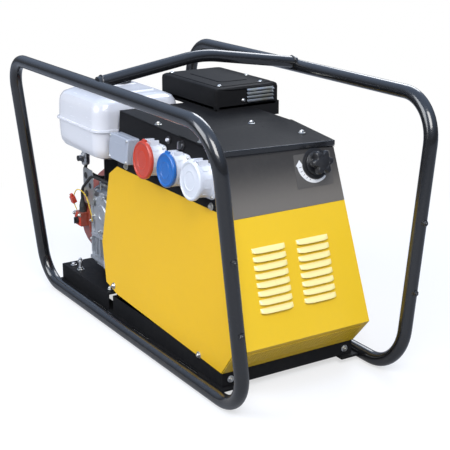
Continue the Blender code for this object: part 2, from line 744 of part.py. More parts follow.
core_low = Vector((-0.070, -0.050, shelf_z + gap))
reactor = block(core_low, core_low + Vector((0.090, 0.060, 0.075)), 0.0)
join(reactor, block(core_low + Vector((0.016, -0.016, 0.014)), core_low + Vector((0.074, 0.076, 0.061)), 0.008),
     "reactor_coil")
keep(reactor, "output_reactor", "copper")

bridge_fins = 7
fin_pitch = 0.010
comb_points = [(0, 0)]
for k in range(bridge_fins):
    comb_points += [(k * fin_pitch, 0.040), (k * fin_pitch + 0.003, 0.040), (k * fin_pitch + 0.003, 0.008),
                    ((k + 1) * fin_pitch, 0.008)]
comb_points = comb_points[:-1]
comb_points[-1] = (comb_points[-1][0], 0)
keep(as_mesh(plate(comb_points, [], 0.080, basis((0.100, 0.040, shelf_z + gap), (1, 0, 0), (0, 0, 1)))),
     "rectifier", "cast_aluminium")

# housing: folded side panels and the black panels above them

slope_stretch = math.sqrt(1 + front_slope ** 2)
front_inset = sheet * slope_stretch + gap
side_stretch = math.sqrt(1 + side_slope ** 2)
foot_x = front_x(crease_z) - crease_back
foot_half = side_y(strip_foot_z) - foot_tuck
side_rear = [(-0.137, side_top_z), (-0.175, side_top_z - 0.025), (-0.198, 0.184), (-0.168, 0.092)]
fold_start = (-0.110, 0.078)


def side_panel(side, name):
    def on_side(x, z):
        return (x, side * side_y(z), z)

    points = [on_side(*side_rear[3]), on_side(*fold_start), on_side(front_x(crease_z) - 2 * front_inset, crease_z),
              on_side(front_x(side_top_z) - front_inset, side_top_z)]
    points += [on_side(x, z) for x, z in side_rear[:3]]
    points.append((foot_x - 2 * front_inset, side * foot_half, strip_foot_z))
    faces = [(0, 1, 2, 3, 4, 5, 6), (1, 7, 2)]
    if side > 0:
        faces = [tuple(reversed(face)) for face in faces]
    keep(folded(points, faces, sheet), name, "side_yellow")


side_panel(-1, "side_panel_right")
side_panel(1, "side_panel_left")


def side_place(x, z, side):
    # local X along the panel, Y up the panel, Z out of it
    return basis((x, side * side_y(z), z), (-side, 0, 0), (0, -side * side_slope, 1))


def cover_under(x):
    # underside of the cover's near edge, with its gap
    share = (x - cover_rear_x) / (front_x(cover_near_z) - cover_rear_x)
    return cover_rear_z + (cover_near_z - cover_rear_z) * share - sheet - 0.0008


def upper_outline(side, drop):
    # black panel between the yellow side and the cover, in the panel's own plane
    rear = cover_rear_x
    foot = side_top_z + gap

    def local(x, z):
        return (-side * x, (z - socket_z) * side_stretch)

    head_front = cover_under(front_x(cover_near_z)) - drop
    return [local(rear, foot), local(front_x(foot) - front_inset, foot),
            local(front_x(head_front) - front_inset, head_front), local(rear, cover_under(rear))]


button_v = (button_z - socket_z) * side_stretch
breaker_x = 0.100
selector_x = 0.158
breaker_body_radius = 0.0060
near_holes = [circle(x, 0, mouth_radius - 0.004, 20) for x in socket_x]
near_holes += [circle(x, button_v, breaker_body_radius + gap, 14) for x in (breaker_x, selector_x)]
keep(plate(upper_outline(-1, 0), near_holes, sheet, side_place(0, socket_z, -1)), "socket_panel", "cover_black")

far_drop = cover_near_z - front_top_z
weld_socket_x = (0.080, 0.180)
keep(plate(upper_outline(1, far_drop), [circle(-x, -0.014, 0.010, 16) for x in weld_socket_x], sheet,
           side_place(0, socket_z, 1)), "output_panel", "cover_black")

# housing: control panel, louvred panel and grille strip on the sloping front

def front_place(y, z):
    # local X across the front, Y up its slope, Z out of it
    return basis((front_x(z), y, z), (0, 1, 0), (-front_slope, 0, 1))


def on_front(y, z):
    return (y, (z - split_z) * slope_stretch)


knob_v = (dial_z - split_z) * slope_stretch
spindle_radius = 0.004
control_outline = [on_front(-side_y(split_z), split_z + gap), on_front(side_y(split_z), split_z + gap),
                   on_front(side_y(front_top_z), front_top_z - sheet - 0.0008),
                   on_front(-side_y(cover_near_z), cover_near_z - sheet - 0.0008)]
keep(plate(control_outline, [circle(dial_y, knob_v, spindle_radius + 0.002, 16)], sheet, front_place(0, split_z)),
     "control_panel", "panel_grey")

louvre_slots = []
for column in (-1, 1):
    for row in range(louvre_rows):
        middle = (crease_z + louvre_low - split_z) * slope_stretch + row * louvre_pitch
        louvre_slots.append(rectangle(column * louvre_column_y, middle, louvre_width, louvre_gap))
front_points = [(front_x(split_z), -side_y(split_z), split_z), (front_x(split_z), side_y(split_z), split_z),
                (front_x(crease_z), -side_y(crease_z), crease_z), (front_x(crease_z), side_y(crease_z), crease_z),
                (foot_x, -foot_half, strip_foot_z), (foot_x, foot_half, strip_foot_z)]
louvre_panel = folded(front_points, [(0, 2, 3, 1), (2, 4, 5, 3)], sheet)
punch = 0.02
cut(louvre_panel, as_mesh(plate(louvre_slots[0], louvre_slots[1:], punch,
                                front_place(0, split_z) @ Matrix.Translation((0, 0, punch / 2)))), "louvre_punch")
strip_rise = Vector((crease_back, 0, crease_z - strip_foot_z))
strip_place = basis((foot_x, 0, strip_foot_z), (0, 1, 0), strip_rise)
strip_slots = [rectangle(column * 0.080, strip_rise.length * share, 0.140, 0.006)
               for column in (-1, 1) for share in (0.35, 0.65)]
cut(louvre_panel, as_mesh(plate(strip_slots[0], strip_slots[1:], punch,
                                strip_place @ Matrix.Translation((0, 0, punch / 2)))), "strip_punch")
keep(louvre_panel, "louvre_panel", "front_yellow")

# housing: top cover with its diagonal fold, and the exhaust cover on it

overhang = 0.0012
cover_points = [(cover_rear_x, -side_y(cover_rear_z) - overhang, cover_rear_z),
                (front_x(cover_near_z) + cover_lip, -side_y(cover_near_z) - overhang, cover_near_z),
                (front_x(front_top_z) + cover_lip, side_y(front_top_z) + overhang, front_top_z),
                (cover_bend_x, side_y(cover_bend_z) + overhang, cover_bend_z),
                (cover_rear_x, side_y(cover_rear_z) + overhang, cover_rear_z)]
keep(folded(cover_points, [(0, 1, 3), (0, 3, 4), (1, 2, 3)], sheet), "top_cover", "cover_black")

shield_wall = 0.002
shield_base = cover_rear_z + gap
shield_edge = 0.010
shield = block((*shield_low, shield_base - 0.02), (*shield_high, shield_base + shield_height), shield_edge)
cut(shield, block((shield_low.x + shield_wall, shield_low.y + shield_wall, shield_base - 0.04),
                  (shield_high.x - shield_wall, shield_high.y - shield_wall,
                   shield_base + shield_height - shield_wall), shield_edge - shield_wall), "shield_hollow")
cut(shield, block((shield_low.x - 0.01, shield_low.y - 0.01, shield_base - 0.05),
                  (shield_high.x + 0.01, shield_high.y + 0.01, shield_base)), "shield_trim")
for row in range(4):
    slot_z = shield_base + 0.010 + row * 0.0085
    cut(shield, block((shield_high.x - 0.006, shield_high.y - 0.090, slot_z),
                      (shield_high.x + 0.004, shield_high.y - 0.018, slot_z + 0.0045)), "shield_slot_%d" % row)
keep(shield, "exhaust_cover", "cover_black")

# control: dial plate, knob and rheostat

dial_place = front_place(dial_y, dial_z)
knob_base = gap
lobes = 6
knob_outline = [(knob_radius * (0.90 + 0.10 * math.cos(lobes * turn)) * math.cos(turn),
                 knob_radius * (0.90 + 0.10 * math.cos(lobes * turn)) * math.sin(turn))
                for turn in (2 * math.pi * k / 48 for k in range(48))]
knob = as_mesh(plate(knob_outline, [], knob_length - 0.006,
                     dial_place @ Matrix.Translation((0, 0, knob_base + knob_length))))
join(knob, rod(dial_place @ Vector((0, 0, knob_base)), dial_place @ Vector((0, 0, knob_base + 0.008)),
               knob_radius * 0.95, 32), "knob_skirt")
spindle_depth = 0.014
join(knob, rod(dial_place @ Vector((0, 0, -spindle_depth)), dial_place @ Vector((0, 0, knob_base + 0.010)),
               spindle_radius, 16), "knob_spindle")
keep(knob, "current_knob", "black_plastic")
rheostat = rod(dial_place @ Vector((0, 0, -sheet - gap - 0.022)), dial_place @ Vector((0, 0, -sheet - gap)),
               0.020, 28)
cut(rheostat, rod(dial_place @ Vector((0, 0, -spindle_depth - gap)), dial_place @ Vector((0, 0, 0.01)),
                  spindle_radius + 0.0005, 20), "rheostat_bore")
keep(rheostat, "rheostat", "black_plastic")

# power sockets with sprung lids, terminal box, breakers and selector

lid_base = flange_thickness + barrel_length + gap
for x, reach, paint, name in zip(socket_x, lid_radius, ("red_plastic", "blue_plastic", "white_plastic"),
                                 ("large", "middle", "small")):
    place = side_place(x, socket_z, -1)
    half = flange_side / 2
    body = block((-half, -half, gap), (half, half, flange_thickness), 0.003, 1)
    body.matrix_world = place @ body.matrix_basis
    join(body, rod(place @ Vector((0, 0, gap * 2)), place @ Vector((0, 0, lid_base - gap)), barrel_radius, 32),
         name + "_barrel")
    ear = block((-0.008, barrel_radius - 0.004, flange_thickness - 0.002),
                (0.008, reach + 0.002, lid_base - 0.004))
    ear.matrix_world = place @ ear.matrix_basis
    join(body, ear, name + "_ear")
    cut(body, rod(place @ Vector((0, 0, lid_base - mouth_depth)), place @ Vector((0, 0, lid_base + 0.01)),
                  mouth_radius, 28), name + "_mouth")
    keep(body, "power_socket_" + name, "white_plastic" if name != "large" else "grey_plastic")
    lid = rod(place @ Vector((0, 0, lid_base)), place @ Vector((0, 0, lid_base + lid_thickness)), reach, 32,
              reach - 0.004)
    lug = block((-0.007, reach - 0.008, lid_base), (0.007, reach + 0.005, lid_base + 0.007))
    lug.matrix_world = place @ lug.matrix_basis
    join(lid, lug, name + "_lug")
    keep(lid, "socket_lid_" + name, paint)

terminal_place = side_place(-0.078, 0.437, -1)
terminal_box = block((-0.046, -0.030, gap), (0.046, 0.030, 0.030), 0.004)
terminal_box.matrix_world = terminal_place @ terminal_box.matrix_basis
keep(terminal_box, "terminal_box", "grey_plastic")

button_radius = 0.0035
button_travel = 0.003
bezel = 0.003
key_radius = 0.0040
back_depth = 0.024
block_place = side_place(0, button_z, -1)
breakers = block((breaker_x - 0.012, -0.0065, -back_depth), (selector_x + 0.012, 0.0065, -0.006))
breakers.matrix_world = block_place @ breakers.matrix_basis
for name, x, rim_radius in (("breaker", breaker_x, 0.0085), ("selector", selector_x, 0.0095)):
    place = side_place(x, button_z, -1)
    join(breakers, rod(place @ Vector((0, 0, -0.008)), place @ Vector((0, 0, bezel / 2)), breaker_body_radius, 14),
         name + "_barrel")
    join(breakers, rod(place @ Vector((0, 0, gap)), place @ Vector((0, 0, bezel)), rim_radius, 20), name + "_rim")
    bore = key_radius if name == "selector" else button_radius
    cut(breakers, rod(place @ Vector((0, 0, -0.014)), place @ Vector((0, 0, bezel + 0.01)), bore + gap, 18),
        name + "_bore")
keep(breakers, "breaker_block", "black_plastic")
button_place = side_place(breaker_x, button_z, -1)
keep(rod(button_place @ Vector((0, 0, -0.014 + gap + button_travel)), button_place @ Vector((0, 0, bezel + 0.005)),
         button_radius, 14), "breaker_button", "white_plastic")
selector_place = side_place(selector_x, button_z, -1)
selector_key = rod(selector_place @ Vector((0, 0, -0.014 + gap)), selector_place @ Vector((0, 0, bezel + 0.002)),
                   key_radius, 16)
grip = block((-0.0022, -0.0075, bezel + 0.0006), (0.0022, 0.0075, bezel + 0.010))
grip.matrix_world = selector_place @ grip.matrix_basis
join(selector_key, grip, "selector_grip")
keep(selector_key, "selector_key", "steel")

# welding current sockets on the exhaust side

for x, name in zip(weld_socket_x, ("positive", "negative")):
    profile = [(0, 0.004), (0.0075, 0.004), (0.0075, 0.020), (0.019, 0.020), (0.023, 0.014), (0.023, gap),
               (0, gap)]
    keep(turned(profile, side_place(x, socket_z - 0.014, 1), steps=28), "weld_socket_" + name, "black_plastic")
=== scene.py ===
import json
import math

import bmesh
import bpy
from mathutils.bvhtree import BVHTree
from mathutils import Matrix, Vector, noise


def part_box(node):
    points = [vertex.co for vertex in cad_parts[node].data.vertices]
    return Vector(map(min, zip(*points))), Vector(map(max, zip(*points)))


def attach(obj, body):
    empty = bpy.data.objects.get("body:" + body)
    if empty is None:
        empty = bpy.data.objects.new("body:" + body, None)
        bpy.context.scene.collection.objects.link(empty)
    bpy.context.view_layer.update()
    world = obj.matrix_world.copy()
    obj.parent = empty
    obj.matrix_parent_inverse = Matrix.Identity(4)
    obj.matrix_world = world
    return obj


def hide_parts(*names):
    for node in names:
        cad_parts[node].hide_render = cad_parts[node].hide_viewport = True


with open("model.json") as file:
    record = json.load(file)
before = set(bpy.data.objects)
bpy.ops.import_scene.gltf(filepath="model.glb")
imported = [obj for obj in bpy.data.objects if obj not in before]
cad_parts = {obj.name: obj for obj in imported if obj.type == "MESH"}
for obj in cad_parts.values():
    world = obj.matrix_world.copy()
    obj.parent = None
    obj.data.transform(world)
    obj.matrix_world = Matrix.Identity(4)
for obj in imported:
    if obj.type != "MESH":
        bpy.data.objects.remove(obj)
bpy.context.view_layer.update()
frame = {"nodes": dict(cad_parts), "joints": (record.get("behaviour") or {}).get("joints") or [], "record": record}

scene = bpy.context.scene
joints = {joint["name"]: joint for joint in frame["joints"]}
bodyOf = {node: body for body, nodes in frame["record"]["behaviour"]["bodies"].items() for node in nodes}
slotOf = {part["node"]: part["material_slot"] for part in frame["record"]["subparts"]}
print("frame loaded:", len(frame["nodes"]), "nodes")


# finishes

class Wire:
    # a socket that can stand in a sum
    def __init__(self, finish, socket):
        self.finish = finish
        self.socket = socket

    def maths(self, kind, first, second):
        return self.finish.node("ShaderNodeMath", {"operation": kind}, {0: first, 1: second})

    def __add__(self, other):
        return self.maths("ADD", self, other)

    def __radd__(self, other):
        return self.maths("ADD", other, self)

    def __sub__(self, other):
        return self.maths("SUBTRACT", self, other)

    def __rsub__(self, other):
        return self.maths("SUBTRACT", other, self)

    def __mul__(self, other):
        return self.maths("MULTIPLY", self, other)

    def __rmul__(self, other):
        return self.maths("MULTIPLY", other, self)

    def __truediv__(self, other):
        return self.maths("DIVIDE", self, other)

    def __pow__(self, other):
        return self.maths("POWER", self, other)


class Finish:
    def __init__(self, name):
        self.material = bpy.data.materials.new(name)
        self.material.use_nodes = True
        self.tree = self.material.node_tree
        self.tree.nodes.clear()
        self.shader = self.tree.nodes.new("ShaderNodeBsdfPrincipled")
        self.end = self.tree.nodes.new("ShaderNodeOutputMaterial")
        self.tree.links.new(self.shader.outputs[0], self.end.inputs[0])
        self.point = self.node("ShaderNodeTexCoord", output="Object")

    def feed(self, socket, value):
        if isinstance(value, Wire):
            self.tree.links.new(value.socket, socket)
        else:
            socket.default_value = value

    def node(self, kind, settings=None, inputs=None, output=0):
        made = self.tree.nodes.new(kind)
        for key, value in (settings or {}).items():
            if key == "stops":
                for stop, (place, shade) in zip(made.color_ramp.elements, value):
                    stop.position = place
                    stop.color = shade
            else:
                setattr(made, key, value)
        for key, value in (inputs or {}).items():
            self.feed(made.inputs[key], value)
        return Wire(self, made.outputs[output])

    def cloud(self, scale, detail=3, stretch=None, rough=0.55):
        point = self.point
        if stretch:
            point = self.node("ShaderNodeMapping", None, {"Vector": point, "Scale": stretch})
        return self.node("ShaderNodeTexNoise", None,
                         {"Vector": point, "Scale": scale, "Detail": detail, "Roughness": rough})

    def ramp(self, value, low, high):
        # 0 below low, 1 above high
        return self.node("ShaderNodeMapRange", {"interpolation_type": "SMOOTHSTEP"},
                         {"Value": value, "From Min": low, "From Max": high})

    def blend(self, share, first, second):
        return self.node("ShaderNodeMix", {"data_type": "RGBA"}, {0: share, 6: first, 7: second}, 2)

    def clamp(self, value):
        return self.node("ShaderNodeClamp", None, {0: value})

    def edge(self):
        return self.node("ShaderNodeAttribute", {"attribute_name": "edge"}, output="Fac")

    def upward(self):
        normal = self.node("ShaderNodeNewGeometry", output="Normal")
        return self.clamp(self.node("ShaderNodeSeparateXYZ", None, {0: normal}, 2))

    def height(self):
        return self.node("ShaderNodeSeparateXYZ", None, {0: self.point}, 2)

    def bump(self, value, strength, distance, under=None):
        inputs = {"Strength": strength, "Distance": distance, "Height": value}
        if under:
            inputs["Normal"] = under
        return self.node("ShaderNodeBump", None, inputs)

    def set(self, **values):
        for key, value in values.items():
            self.feed(self.shader.inputs[key.replace("_", " ")], value)
        return self.material


def rgba(color, scale=1.0):
    return (*(min(1.0, channel * scale) for channel in color), 1.0)


def paint(name, color, rough=0.28, coat=0.5, peel=0.05, drift=0.07, dust=0.12, chips=0.35, under=(0.30, 0.30, 0.31),
          dustColor=(0.34, 0.31, 0.27), coatRough=0.06, grain=420.0, paintedSheen=None, shine=0.5):
    # sprayed enamel: slow drift of the colour, orange peel, dust on top faces and rubbed edges, and where asked a
    # painted sheen: a paler colour blended in between two heights
    made = Finish(name)
    slow = made.cloud(6.0, 4)
    fine = made.cloud(85.0, 5)
    base = made.blend(slow, rgba(color, 1 - drift), rgba(color, 1 + drift))
    made.shader.inputs["Specular IOR Level"].default_value = shine
    # painted sheen: blends the colour towards a paler one between two heights, standing in for reflected light
    if paintedSheen:
        base = made.blend(made.ramp(made.height(), *paintedSheen[:2]), base, rgba(paintedSheen[2]))
    foot = made.ramp(made.height(), 0.16, 0.02)
    settled = made.ramp(fine * (slow + 0.55), 0.42, 0.80) * (made.upward() * 0.8 + foot * 0.6 + 0.15)
    settled = made.clamp(settled * dust)
    base = made.blend(settled, base, rgba(dustColor))
    rubbed = made.edge() * made.ramp(made.cloud(55.0, 6), 1 - chips * 0.62, 1.02 - chips * 0.55)
    base = made.blend(rubbed, base, rgba(under))
    scratch = made.ramp(made.cloud(26.0, 2, (1.0, 9.0, 14.0)), 0.69, 0.72)
    roughness = made.clamp(rough - 0.06 + slow * 0.10 + settled * 0.45 + scratch * 0.12 + rubbed * 0.25)
    normal = made.bump(made.cloud(grain, 2), peel, 0.0006)
    normal = made.bump(scratch, 0.05, 0.0002, normal)
    return made.set(Base_Color=base, Roughness=roughness, Coat_Weight=coat, Coat_Roughness=coatRough, Normal=normal)


def plastic(name, color, rough=0.38, grain=900.0, strength=0.10, drift=0.05, coat=0.0, subsurface=0.0, dust=0.10):
    made = Finish(name)
    slow = made.cloud(11.0, 4)
    base = made.blend(slow, rgba(color, 1 - drift), rgba(color, 1 + drift))
    grime = made.clamp(made.ramp(made.cloud(60.0, 5) * (slow + 0.5), 0.50, 0.85) * dust)
    base = made.blend(grime, base, rgba((0.16, 0.15, 0.14)))
    worn = made.edge() * made.ramp(made.cloud(120.0, 4), 0.45, 0.75) * 0.35
    base = made.blend(worn, base, rgba(color, 1.35))
    made.shader.inputs["Subsurface Weight"].default_value = subsurface
    made.shader.inputs["Subsurface Radius"].default_value = (0.012, 0.012, 0.012)
    made.shader.inputs["Subsurface Scale"].default_value = 0.3
    return made.set(Base_Color=base, Roughness=made.clamp(rough - 0.05 + slow * 0.12 + grime * 0.4),
                    Coat_Weight=coat, Normal=made.bump(made.cloud(grain, 2), strength, 0.0003))


def casting(name, color, rough=0.42, metallic=0.75, grain=330.0, strength=0.35, stain=0.45,
            stainColor=(0.07, 0.065, 0.06)):
    # sand-cast metal: pitted skin, oil stains and bright rubbed edges
    made = Finish(name)
    slow = made.cloud(14.0, 5)
    skin = made.cloud(grain, 4, rough=0.7)
    base = made.blend(slow, rgba(color, 0.82), rgba(color, 1.12))
    oily = made.clamp(made.ramp(made.cloud(24.0, 6, rough=0.65) * (skin * 0.4 + 0.8), 0.50, 0.72) * stain)
    base = made.blend(oily, base, rgba(stainColor))
    bright = made.edge() * made.ramp(made.cloud(80.0, 4), 0.35, 0.65) * 0.6
    base = made.blend(bright, base, rgba(color, 1.5))
    roughness = made.clamp(rough - 0.08 + slow * 0.2 - bright * 0.15 + skin * 0.08)
    return made.set(Base_Color=base, Roughness=roughness, Metallic=metallic, Normal=made.bump(skin, strength, 0.0007))


def plated(name, color, rough=0.26, metallic=1.0, stretch=(1.0, 1.0, 12.0), tint=(0.62, 0.60, 0.50)):
    # zinc plated or turned steel with fine marks and a faint yellow passivation
    made = Finish(name)
    slow = made.cloud(40.0, 4)
    marks = made.cloud(160.0, 2, stretch)
    base = made.blend(made.ramp(slow, 0.40, 0.72), rgba(color), rgba(tint))
    dull = made.ramp(made.cloud(120.0, 5), 0.58, 0.75)
    base = made.blend(dull * 0.35, base, rgba((0.22, 0.20, 0.18)))
    return made.set(Base_Color=base, Roughness=made.clamp(rough + marks * 0.16 + dull * 0.2), Metallic=metallic,
                    Normal=made.bump(marks, 0.10, 0.0002))


def banded(name, color, dark, pitch, axis, rough=0.35, metallic=0.6, strength=0.5):
    # laminated core or wound wire: fine bands across one axis
    made = Finish(name)
    wave = made.node("ShaderNodeTexWave", {"wave_type": "BANDS", "bands_direction": axis},
                     {"Vector": made.point, "Scale": 1.0 / (pitch * 20.0), "Distortion": 0.6, "Detail": 2.0,
                      "Detail Scale": 1.5}, 1)
    slow = made.cloud(22.0, 4)
    base = made.blend(wave, rgba(dark), rgba(color))
    base = made.blend(made.ramp(slow, 0.5, 0.8) * 0.5, base, rgba((0.05, 0.045, 0.04)))
    return made.set(Base_Color=base, Roughness=made.clamp(rough + slow * 0.2), Metallic=metallic,
                    Normal=made.bump(wave, strength, 0.0005))


finishes = {
    "frameEnamel": paint("frame_enamel", (0.010, 0.0105, 0.012), 0.24, 0.8, 0.05, 0.12, 0.02, 0.10,
                         (0.16, 0.15, 0.15), coatRough=0.09),
    "coverBlack": paint("cover_black_coat", (0.013, 0.013, 0.014), 0.50, 0.0, 0.08, 0.12, 0.015, 0.18,
                        (0.10, 0.10, 0.10), coatRough=0.20, grain=620.0, shine=0.05),
    # the grey panels turn paler below about 0.37 m: painted sheen of reflected light
    "panelGrey": paint("panel_grey_coat", (0.045, 0.042, 0.040), 0.34, 0.25, 0.06, 0.08, 0.05, 0.26,
                       (0.20, 0.19, 0.18), coatRough=0.14, paintedSheen=(0.470, 0.372, (0.175, 0.160, 0.142))),
    # the side panels take a darker, oranger copy of the front yellow: painted shade of the sides that get less of the
    # key light
    "sideYellow": paint("side_yellow_enamel", (0.83, 0.485, 0.012), 0.38, 0.06, 0.06, 0.04, 0.08, 0.22,
                        (0.50, 0.30, 0.06), (0.46, 0.33, 0.12), shine=0.3),
    "frontYellow": paint("front_yellow_enamel", (0.88, 0.56, 0.022), 0.36, 0.20, 0.06, 0.03, 0.06, 0.22,
                         (0.52, 0.34, 0.06), (0.46, 0.36, 0.14)),
    # the louvre hoods take a paler cream copy of the front yellow: painted highlight of light and sky on their upward
    # faces
    "hoodYellow": paint("hood_yellow_enamel", (0.95, 0.80, 0.34), 0.30, 0.45, 0.04, 0.03, 0.05, 0.20,
                        (0.55, 0.42, 0.12), (0.55, 0.45, 0.2)),
    "tankWhite": paint("tank_white_enamel", (0.80, 0.80, 0.84), 0.22, 0.6, 0.04, 0.03, 0.10, 0.18,
                       (0.5, 0.5, 0.52), (0.42, 0.40, 0.37)),
    "fanRed": paint("fan_cover_red", (0.30, 0.055, 0.030), 0.36, 0.3, 0.10, 0.12, 0.30, 0.45, (0.30, 0.26, 0.24)),
    "aluminium": casting("cast_aluminium_skin", (0.50, 0.52, 0.55)),
    "iron": casting("dark_iron_skin", (0.085, 0.083, 0.085), 0.48, 0.55, 260.0, 0.4, 0.5, (0.10, 0.05, 0.03)),
    "hotIron": casting("heat_stained_iron", (0.16, 0.13, 0.12), 0.55, 0.55, 240.0, 0.45, 0.7, (0.14, 0.06, 0.03)),
    "zinc": plated("zinc_plate", (0.66, 0.67, 0.68)),
    "steel": plated("turned_steel", (0.52, 0.53, 0.55), 0.22, stretch=(14.0, 1.0, 1.0), tint=(0.50, 0.50, 0.50)),
    "rubber": plastic("black_rubber", (0.018, 0.018, 0.018), 0.68, 300.0, 0.22, 0.2, dust=0.35),
    "blackPlastic": plastic("black_moulding", (0.016, 0.016, 0.018), 0.34, 900.0, 0.12, 0.15, 0.15),
    "greyPlastic": plastic("grey_moulding", (0.40, 0.43, 0.50), 0.34, 700.0, 0.06, 0.05, 0.25, 0.1, 0.12),
    "whitePlastic": plastic("white_moulding", (0.74, 0.76, 0.82), 0.30, 700.0, 0.05, 0.04, 0.25, 0.1, 0.08),
    "redPlastic": plastic("red_moulding", (0.56, 0.052, 0.024), 0.30, 700.0, 0.05, 0.08, 0.30, 0.05, 0.08),
    "bluePlastic": plastic("blue_moulding", (0.012, 0.135, 0.46), 0.30, 700.0, 0.05, 0.08, 0.30, 0.05, 0.08),
    "dialWhite": plastic("dial_white", (0.82, 0.82, 0.82), 0.35, 600.0, 0.04, 0.02, dust=0.05),
    "dialGrey": plastic("dial_label", (0.100, 0.094, 0.088), 0.38, 600.0, 0.05, 0.05, dust=0.05),
    "wireYellow": plastic("yellow_wire", (0.78, 0.52, 0.03), 0.40, 500.0, 0.08, dust=0.2),
    "copper": banded("wound_copper", (0.62, 0.24, 0.10), (0.20, 0.07, 0.03), 0.0022, "X", metallic=0.85),
    "laminations": banded("laminated_core", (0.16, 0.16, 0.17), (0.05, 0.05, 0.055), 0.0016, "X"),
}
finishOfSlot = {
    "frame_black": "frameEnamel", "cover_black": "coverBlack", "panel_grey": "panelGrey", "side_yellow": "sideYellow",
    "front_yellow": "frontYellow", "tank_white": "tankWhite", "cast_aluminium": "aluminium", "fan_red": "fanRed",
    "steel": "steel", "dark_iron": "iron", "rubber": "rubber", "black_plastic": "blackPlastic",
    "grey_plastic": "greyPlastic", "white_plastic": "whitePlastic", "red_plastic": "redPlastic",
    "blue_plastic": "bluePlastic", "copper": "copper",
}
print("finishes made:", len(finishes))


# mesh tools

def basis(origin, xAxis, yAxis):
    xAxis = Vector(xAxis).normalized()
    zAxis = xAxis.cross(Vector(yAxis)).normalized()
    yAxis = zAxis.cross(xAxis)
    return Matrix.Translation(Vector(origin)) @ Matrix((xAxis, yAxis, zAxis)).transposed().to_4x4()


def sharpEdges(bm, angle):
    return [edge for edge in bm.edges
            if len(edge.link_faces) == 2 and edge.calc_face_angle(0.0) > math.radians(angle)]


def soften(bm, width, segments=2, angle=32):
    # rounds the sharp edges and marks the new faces, so that paint can be rubbed there
    layer = bm.faces.layers.float.get("edge") or bm.faces.layers.float.new("edge")
    edges = sharpEdges(bm, angle)
    if edges and width:
        made = bmesh.ops.bevel(bm, geom=edges, offset=width, segments=segments, profile=0.5, affect="EDGES",
                               clamp_overlap=True, harden_normals=False)
        for face in made["faces"]:
            face[layer] = 1.0


def toObject(bm, name):
    for face in bm.faces:
        face.smooth = True
    for edge in sharpEdges(bm, 42):
        edge.smooth = False
    mesh = bpy.data.meshes.new(name)
    bm.to_mesh(mesh)
    bm.free()
    made = bpy.data.objects.new(name, mesh)
    scene.collection.objects.link(made)
    return made


def weigh(made):
    even = made.modifiers.new("even", "WEIGHTED_NORMAL")
    even.keep_sharp = True
    even.weight = 60


def place(bm, name, finish, body="root", slot="steel", stands=(), width=0.0, segments=2, outward=True):
    if outward:
        bmesh.ops.recalc_face_normals(bm, faces=bm.faces)
    soften(bm, width, segments)
    made = toObject(bm, name)
    made.data.materials.append(finishes[finish])
    weigh(made)
    register(made, body, stands)
    return made


def register(made, body, stands=()):
    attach(made, body)
    if stands:
        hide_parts(*stands)


def addTube(bm, path, radius, sides=24, closed=False, capped=True):
    # sweeps a circle along a path without twist; radius may be a function of the share of the way
    path = [Vector(point) for point in path]
    count = len(path)
    tangents = []
    for k in range(count):
        ahead = path[(k + 1) % count] if closed or k < count - 1 else path[k]
        back = path[k - 1] if closed or k > 0 else path[k]
        tangents.append((ahead - back).normalized())
    across = tangents[0].orthogonal().normalized()
    rings = []
    first = across.copy()
    for k in range(count):
        across = (across - tangents[k] * across.dot(tangents[k])).normalized()
        beside = tangents[k].cross(across)
        size = radius(k / max(1, count - 1)) if callable(radius) else radius
        rings.append([bm.verts.new(path[k] + (across * math.cos(turn) + beside * math.sin(turn)) * size)
                      for turn in (2 * math.pi * step / sides for step in range(sides))])
    shift = 0
    if closed:
        across = (first - tangents[0] * first.dot(tangents[0])).normalized()
        gaps = [(rings[0][s].co - rings[-1][0].co).length for s in range(sides)]
        shift = gaps.index(min(gaps))
    for k in range(count if closed else count - 1):
        low = rings[k]
        high = rings[(k + 1) % count]
        turn = shift if closed and k == count - 1 else 0
        for s in range(sides):
            bm.faces.new((low[s], low[(s + 1) % sides], high[(s + 1 + turn) % sides], high[(s + turn) % sides]))
    if not closed and capped:
        bm.faces.new(list(reversed(rings[0])))
        bm.faces.new(rings[-1])


def addLathe(bm, profile, matrix, steps=48):
    # profile of (radius, height) points; ends on the axis close themselves
    rings = []
    for radius, height in profile:
        if radius < 1e-6:
            rings.append([bm.verts.new(matrix @ Vector((0, 0, height)))])
        else:
            rings.append([bm.verts.new(matrix @ Vector((radius * math.cos(turn), radius * math.sin(turn), height)))
                          for turn in (2 * math.pi * step / steps for step in range(steps))])
    closed = len(rings[0]) > 1 and len(rings[-1]) > 1
    pairs = list(zip(rings, rings[1:])) + ([(rings[-1], rings[0])] if closed else [])
    for low, high in pairs:
        for s in range(steps):
            t = (s + 1) % steps
            if len(low) == 1:
                bm.faces.new((low[0], high[t], high[s]))
            elif len(high) == 1:
                bm.faces.new((low[s], low[t], high[0]))
            else:
                bm.faces.new((low[s], low[t], high[t], high[s]))


def addLoft(bm, rings, matrix):
    # rings of equal length, each a list of (x, y, z); both ends are closed
    made = [[bm.verts.new(matrix @ Vector(point)) for point in ring] for ring in rings]
    count = len(made[0])
    for low, high in zip(made, made[1:]):
        for s in range(count):
            bm.faces.new((low[s], low[(s + 1) % count], high[(s + 1) % count], high[s]))
    bm.faces.new(list(reversed(made[0])))
    bm.faces.new(made[-1])


def addPlate(bm, outline, matrix, low, high):
    addLoft(bm, [[(x, y, low) for x, y in outline], [(x, y, high) for x, y in outline]], matrix)


def addBox(bm, low, high, matrix=Matrix.Identity(4)):
    addPlate(bm, [(low[0], low[1]), (high[0], low[1]), (high[0], high[1]), (low[0], high[1])], matrix, low[2],
             high[2])


